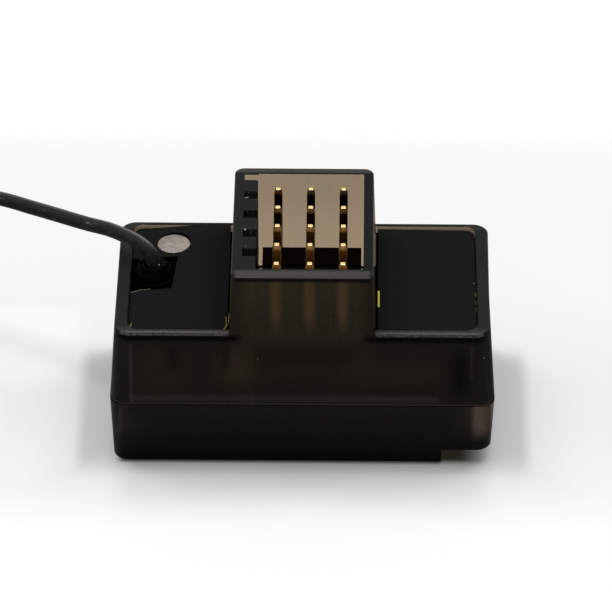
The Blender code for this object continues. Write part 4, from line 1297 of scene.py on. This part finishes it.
class RECEIVER_OT_lower_shell(bpy.types.Operator):
    """Adds the lower shell with its floor, tongue, posts and raised step"""

    bl_idname = "receiver.lower_shell"
    bl_label = "Lower shell"

    def execute(self, context):
        shape = context.scene.receiver_shape
        z1 = SEAM_Z - shape.seam_gap / 2
        foot = (lower_half(0.0)[0], lower_half(0.0)[1] + FOOT_SPREAD)
        top = lower_half(z1, -0.03 * MM)
        body = drafted(foot, top, 0.0, z1, OUTER_CORNER, 0.02 * MM, 0.1 * MM)
        for v in body.verts:
            if v.co.x < 0.0:
                v.co.x -= LEFT_LEAN * (z1 - v.co.z)
            else:
                v.co.x -= END_TAPER * (v.co.y - END_TAPER_FROM)
        inset = SKIRT_WALL + LAP_FIT
        tongue_z = SEAM_Z + LAP_HEIGHT - 0.3 * MM
        tongue = drafted(
            lower_half(z1 - MM, inset), upper_half(tongue_z, inset), z1 - MM, tongue_z, TRAY_CORNER
        )
        raised = STEP_HEIGHT + BASE_FLOOR
        tray = hollow(lower_half, raised, SEAM_Z + MM, BASE_WALL, TRAY_CORNER)
        half = lower_half(BASE_FLOOR, BASE_WALL)
        x1 = STEP_X - BASE_WALL
        deep = prism(
            ((x1 + half[0]) / 2, half[1]),
            BASE_FLOOR,
            raised + MM,
            TRAY_CORNER,
            centre=((x1 - half[0]) / 2, 0.0),
        )
        wide = foot[1] + MM
        step = block(STEP_X, STEP_X + STEP_LENGTH + MM, -wide, wide, -MM, STEP_HEIGHT)
        nub = rod(NUB_DIAMETER, STEP_HEIGHT - 0.18 * MM, STEP_HEIGHT + 0.3 * MM, NUB, 32)
        steps = join(tongue) + cut(tray, deep)
        steps += join(*posts(BASE_FLOOR / 2, BOARD_Z - 0.3 * MM)) + cut(step) + join(nub)
        bm = combined(body, steps)
        piece("lower_shell", bm, smoked_shell(), ("lower_case",), 35.0, True)
        return {"FINISHED"}


# ---- connector


def pin_places():
    """Column, row, x and y of every pin."""
    for row in range(ROWS):
        for column in range(COLUMNS):
            x = CONNECTOR[0] + (column - (COLUMNS - 1) / 2) * PITCH
            y = CONNECTOR[1] + (row - (ROWS - 1) / 2) * PITCH
            yield column, row, x, y


class RECEIVER_OT_pins(bpy.types.Operator):
    """Adds the fifteen gold pins with their tapered, rounded tips"""

    bl_idname = "receiver.pins"
    bl_label = "Pins"

    def execute(self, context):
        half = PIN_SIDE / 2
        for column, row, x, y in pin_places():
            node = f"{ROLES[column]}_pin_{row + 1}"
            low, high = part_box(node)
            tip = high.z + 0.05 * MM
            bm = block(x - half, x + half, y - half, y + half, low.z, tip)
            for z, share, reach in ((tip, 0.58, -0.42 * MM), (low.z, 0.6, 0.4 * MM)):
                end = min(bm.faces, key=lambda face: abs(face.calc_center_median().z - z))
                bmesh.ops.inset_individual(bm, faces=[end], thickness=0.02 * MM)
                for v in end.verts:
                    v.co.x = x + (v.co.x - x) * share
                    v.co.y = y + (v.co.y - y) * share
                for edge in {e for v in end.verts for e in v.link_edges}:
                    for v in edge.verts:
                        if v not in end.verts:
                            v.co.z = z + reach
            round_edges(bm, list(bm.edges), 0.03 * MM, 2)
            piece(node.replace("_pin_", "_contact_"), bm, gold_plate(), (node,), 50.0)
        return {"FINISHED"}


class RECEIVER_OT_header(bpy.types.Operator):
    """Adds the black strip that holds the pins, notched between its rows"""

    bl_idname = "receiver.header"
    bl_label = "Pin strip"

    def execute(self, context):
        x, y = CONNECTOR
        x0, x1 = x - HEADER_HALF[0], x + HEADER_HALF[0]
        y0, y1 = y - HEADER_HALF[1], y + HEADER_HALF[1]
        body = eased(x0, x1 + 0.14 * MM, y0, y1, SOLDER_Z, HEADER_Z + 0.16 * MM, 0.02 * MM)
        top, notch = HEADER_Z + MM, (0.35 * MM, 0.22 * MM)
        tools = []
        for row in range(1, ROWS):
            at = y + (row - ROWS / 2) * PITCH
            for edge in (x0, x1):
                place = (edge, at)
                tools.append(prism(notch, SOLDER_Z - MM, top, 0.1 * MM, steps=3, centre=place))
            groove = (x0 - MM, x1 + MM, at - 0.1 * MM, at + 0.1 * MM)
            tools.append(block(*groove, HEADER_Z - 0.12 * MM, top))
        bm = combined(body, cut(*tools))
        piece("pin_strip", bm, black_nylon(), ("header_base",), 35.0, True)
        return {"FINISHED"}


# ---- labels and window

# Slivers of adhesive in millimetres: start, end, width, height over the label's foot
SLIVERS = (
    ((5.83, -3.4), (5.83, -1.25), 0.15, 0.2),
    ((13.33, -3.9), (13.33, -3.3), 0.05, 0.13),
    ((13.34, -2.9), (13.34, -2.5), 0.04, 0.13),
    ((13.33, -1.9), (13.34, -1.3), 0.05, 0.13),
    ((-13.18, -6.2), (-13.1, -5.7), 0.1, 0.16),
    ((-12.9, -6.6), (-11.7, -6.6), 0.05, 0.14),
    ((-10.9, -6.6), (-10.6, -6.6), 0.04, 0.14),
    ((-5.67, -5.7), (-5.65, -4.4), 0.07, 0.22),
    ((-5.82, -5.9), (-5.88, -4.8), 0.06, 0.18),
    ((-6.0, -6.5), (-5.72, -5.75), 0.1, 0.18),
    ((-13.34, -1.74), (-12.5, -1.3), 0.05, 0.2),
    ((-12.5, -1.3), (-11.8, -1.16), 0.04, 0.16),
)

# Crumbs of dust in millimetres over some surfaces: x, y, height and size
CRUMBS = {
    RIM_Z: (
        (-4.45, -1.23, 0.0, 0.16),
        (-4.55, 3.13, -0.03, 0.08),
        (-4.46, 3.16, -0.03, 0.09),
        (-4.36, 3.2, -0.03, 0.08),
        (-4.25, 3.24, -0.03, 0.06),
        (-4.36, -3.5, 0.0, 0.05),
        (-4.43, 4.02, -0.05, 0.07),
        (-4.3, 3.98, -0.1, 0.06),
        (-4.05, -1.42, -0.2, 0.04),
        (-3.9, -3.45, -0.2, 0.04),
        (-4.04, -3.6, -0.1, 0.05),
        (-4.25, -3.4, -0.1, 0.035),
    ),
    LABEL_Z: (
        (13.2, -0.11, 0.1, 0.09),
        (-9.35, 3.93, 0.14, 0.1),
        (-12.35, 4.9, 0.13, 0.05),
        (-12.15, 4.62, 0.13, 0.06),
        (-11.95, 4.72, 0.13, 0.04),
        (-9.6, 3.82, 0.13, 0.06),
    ),
    POCKET_Z: ((-11.15, 0.98, 1.2, 0.1), (-11.4, 0.2, 1.0, 0.05)),
    0.0: (
        (-11.2, 0.48, 12.66, 0.11),
        (2.2, -7.39, 13.2, 0.05),
        (-3.4, -7.62, 9.6, 0.05),
        (-11.3, -7.45, 9.9, 0.06),
        (13.9, -7.45, 9.7, 0.05),
    ),
}


class RECEIVER_OT_labels(bpy.types.Operator):
    """Adds the two bare labels, the left one notched and lifting at one corner"""

    bl_idname = "receiver.labels"
    bl_label = "Labels"

    def execute(self, context):
        lift = context.scene.receiver_shape.label_lift
        x0 = TOWER_SIDE + TOWER_DRAFT * (SHOULDER_Z - LABEL_Z) + LABEL_TOWER_FIT
        x1 = SHOULDER_TOP[0] - POCKET_SIDE_RIM - LABEL_BACK_FIT
        y0 = -SHOULDER_TOP[1] + POCKET_FRONT_RIM + LABEL_FIT
        y1 = SHOULDER_TOP[1] - POCKET_BACK_RIM - LABEL_BACK_FIT
        top = LABEL_Z + LABEL_THICKNESS
        half = ((x1 - x0) / 2, (y1 - y0) / 2)
        for name, sign in (("left_label", -1), ("right_label", 1)):
            centre = (sign * (x0 + x1) / 2, (y0 + y1) / 2)
            bm = prism(half, LABEL_Z, top, LABEL_CORNER, steps=8, centre=centre)
            inner = sorted((sign * x0, sign * (x0 + MM)))
            bm = combined(bm, join(block(*inner, y1 - MM, y1, LABEL_Z, top)))
            if sign < 0:
                bm = combined(bm, cut(*self.holes()))
            bmesh.ops.triangulate(bm, faces=[f for f in bm.faces if len(f.verts) > 4])
            for axis, low, high in ((Vector((sign, 0, 0)), x0, x1), (Vector((0, 1, 0)), y0, y1)):
                for i in range(1, LABEL_CUTS):
                    spot = axis * (low + (high - low) * i / LABEL_CUTS)
                    geom = list(bm.verts) + list(bm.edges) + list(bm.faces)
                    normal = Vector(map(abs, axis))
                    bmesh.ops.bisect_plane(bm, geom=geom, plane_co=spot, plane_no=normal)
            for v in bm.verts:
                if sign < 0:
                    loose = eased_share((v.co.x + x1) / (x1 - x0))
                    loose *= eased_share((v.co.y - 2.0 * MM) / (y1 - 2.0 * MM))
                    v.co.z += lift * loose
                    v.co.y += 0.1 * MM * loose
                else:
                    outward = (v.co.x - x0) / (x1 - x0)
                    back = eased_share((v.co.y - y0) / (y1 - y0))
                    v.co.z += RIGHT_LABEL_LIFT * (1.0 - outward) * back
            piece(name + "_sheet", bm, black_label(), (name,), 40.0)
        self.slivers()
        return {"FINISHED"}

    def holes(self):
        """What the slit at the collar and the hole for the window take from the left label."""
        reach = COLLAR[0] + 1.7 * MM
        centre = (reach - SLIT_HALF[0], SLIT_Y)
        slit = prism(SLIT_HALF, LABEL_Z - MM, LABEL_Z + MM, 0.15 * MM, steps=4, centre=centre)
        for v in slit.verts:
            v.co.x += 0.08 * (v.co.y - 2.6 * MM)
            v.co.y -= 0.2 * max(0.0, reach - v.co.x - 2.0 * MM)
        return slit, rod(LENS_DIAMETER + 0.08 * MM, LABEL_Z - MM, LABEL_Z + MM, LENS, 64)

    def slivers(self):
        """Yellow adhesive that shows at the edges of the labels."""
        parts = []
        for (ax, ay), (bx, by), width, height in SLIVERS:
            run = Vector((bx - ax, by - ay)) * MM
            side = width / 2 * MM
            top = LABEL_Z + height * MM
            bm = eased(0.0, run.length, -side, side, LABEL_Z, top, 0.02 * MM)
            turn = Matrix.Rotation(math.atan2(run.y, run.x), 4, "Z")
            bmesh.ops.transform(bm, matrix=turn, verts=bm.verts)
            parts.append(moved(bm, ax * MM, ay * MM))
        piece("label_adhesive", merged(parts), label_liner(), (), 40.0)


class RECEIVER_OT_dust(bpy.types.Operator):
    """Scatters a few pale crumbs of dust over the rims, the collar and the labels"""

    bl_idname = "receiver.dust"
    bl_label = "Dust"

    def execute(self, context):
        crumbs = []
        for surface, places in CRUMBS.items():
            for x, y, height, size in places:
                spot = Vector((x, y, surface / MM + height))
                bm = bmesh.new()
                bmesh.ops.create_icosphere(bm, subdivisions=2, radius=size / 2 * MM)
                for v in bm.verts:
                    v.co *= 1.0 + 0.5 * noise.noise(v.co * 9000.0 + spot)
                crumbs.append(moved(bm, *(spot * MM)))
        piece("dust", merged(crumbs), dust_grain(), (), 60.0)
        return {"FINISHED"}


class RECEIVER_OT_window(bpy.types.Operator):
    """Adds the frosted light window, slightly crowned, with its flange below the roof"""

    bl_idname = "receiver.window"
    bl_label = "Light window"

    def execute(self, context):
        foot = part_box("light_pipe")[0].z
        r = LENS_DIAMETER / 2 + 0.03 * MM
        top = LABEL_Z + 0.17 * MM
        flange, flange_r = (CEILING_Z - 0.3 * MM, CEILING_Z - 0.8 * MM), 1.5 * MM
        outline = [
            (0.0, top),
            *[(r * 0.94 * i / 8, top - 0.04 * MM * (i / 8) ** 2) for i in range(1, 9)],
            *arc((r - 0.07 * MM, top - 0.1 * MM), 0.07 * MM, 80, 0, 4),
            (r, flange[0]),
            (flange_r, flange[0]),
            (flange_r, flange[1]),
            (r, flange[1]),
            (r, foot),
            (0.0, foot),
        ]
        bm = lathed(outline, LENS, 72)
        piece("light_window", bm, frosted_lens(), ("light_pipe",), 45.0)
        return {"FINISHED"}


# ---- board


class RECEIVER_OT_board(bpy.types.Operator):
    """Finishes the circuit board and what stands on it, and adds the solder joints"""

    bl_idname = "receiver.board"
    bl_label = "Board"

    def execute(self, context):
        for material, names in (
            (solder_mask(), ("main_board",)),
            (plated_tin(), ("rf_shield", "crystal")),
            (chip_black(), ("rf_chip", "voltage_regulator", "resistor_array")),
            (leaded_chip(), ("microcontroller",)),
            (tantalum_yellow(), ("tantalum_capacitor",)),
            (can_aluminium(), ("electrolytic_capacitor",)),
            (led_body(), ("status_led",)),
        ):
            for name in names:
                dressed(name, material)
        # Radius and height over the board's foot, in millimetres
        outline = ((0.34, -0.6), (0.38, -0.3), (0.55, -0.02), (0.34, -0.02))
        points = [(r * MM, BOARD_Z + h * MM) for r, h in outline]
        solder = [lathed(points, (x, y), 20) for _column, _row, x, y in pin_places()]
        piece("solder_joints", merged(solder), plated_tin(), (), 60.0)
        return {"FINISHED"}


# ---- panel


OPERATORS = (
    RECEIVER_OT_stage,
    RECEIVER_OT_antenna,
    RECEIVER_OT_collar,
    RECEIVER_OT_upper_shell,
    RECEIVER_OT_lower_shell,
    RECEIVER_OT_pins,
    RECEIVER_OT_header,
    RECEIVER_OT_labels,
    RECEIVER_OT_dust,
    RECEIVER_OT_window,
    RECEIVER_OT_board,
)


class RECEIVER_PT_panel(bpy.types.Panel):
    """Lists the receiver's settings and pieces"""

    bl_label = "RC Receiver"
    bl_idname = "RECEIVER_PT_panel"
    bl_space_type = "VIEW_3D"
    bl_region_type = "UI"
    bl_category = "Receiver"

    def draw(self, context):
        scene = context.scene
        for group in (scene.receiver_shape, scene.receiver_colours, scene.receiver_stage):
            box = self.layout.box()
            for name in group.__annotations__:
                box.prop(group, name)
        for operator in OPERATORS:
            self.layout.operator(operator.bl_idname)


GROUPS = (
    ("receiver_shape", ReceiverShape),
    ("receiver_colours", ReceiverColours),
    ("receiver_stage", ReceiverStage),
)


def register():
    for name, group in GROUPS:
        bpy.utils.register_class(group)
        setattr(bpy.types.Scene, name, PointerProperty(type=group))
    for cls in (*OPERATORS, RECEIVER_PT_panel):
        bpy.utils.register_class(cls)


def unregister():
    for cls in (RECEIVER_PT_panel, *reversed(OPERATORS)):
        bpy.utils.unregister_class(cls)
    for name, group in reversed(GROUPS):
        delattr(bpy.types.Scene, name)
        bpy.utils.unregister_class(group)


def main():
    """Builds the whole receiver."""
    register()
    for operator in OPERATORS:
        group, name = operator.bl_idname.split(".")
        getattr(getattr(bpy.ops, group), name)()


if __name__ == "__main__":
    main()
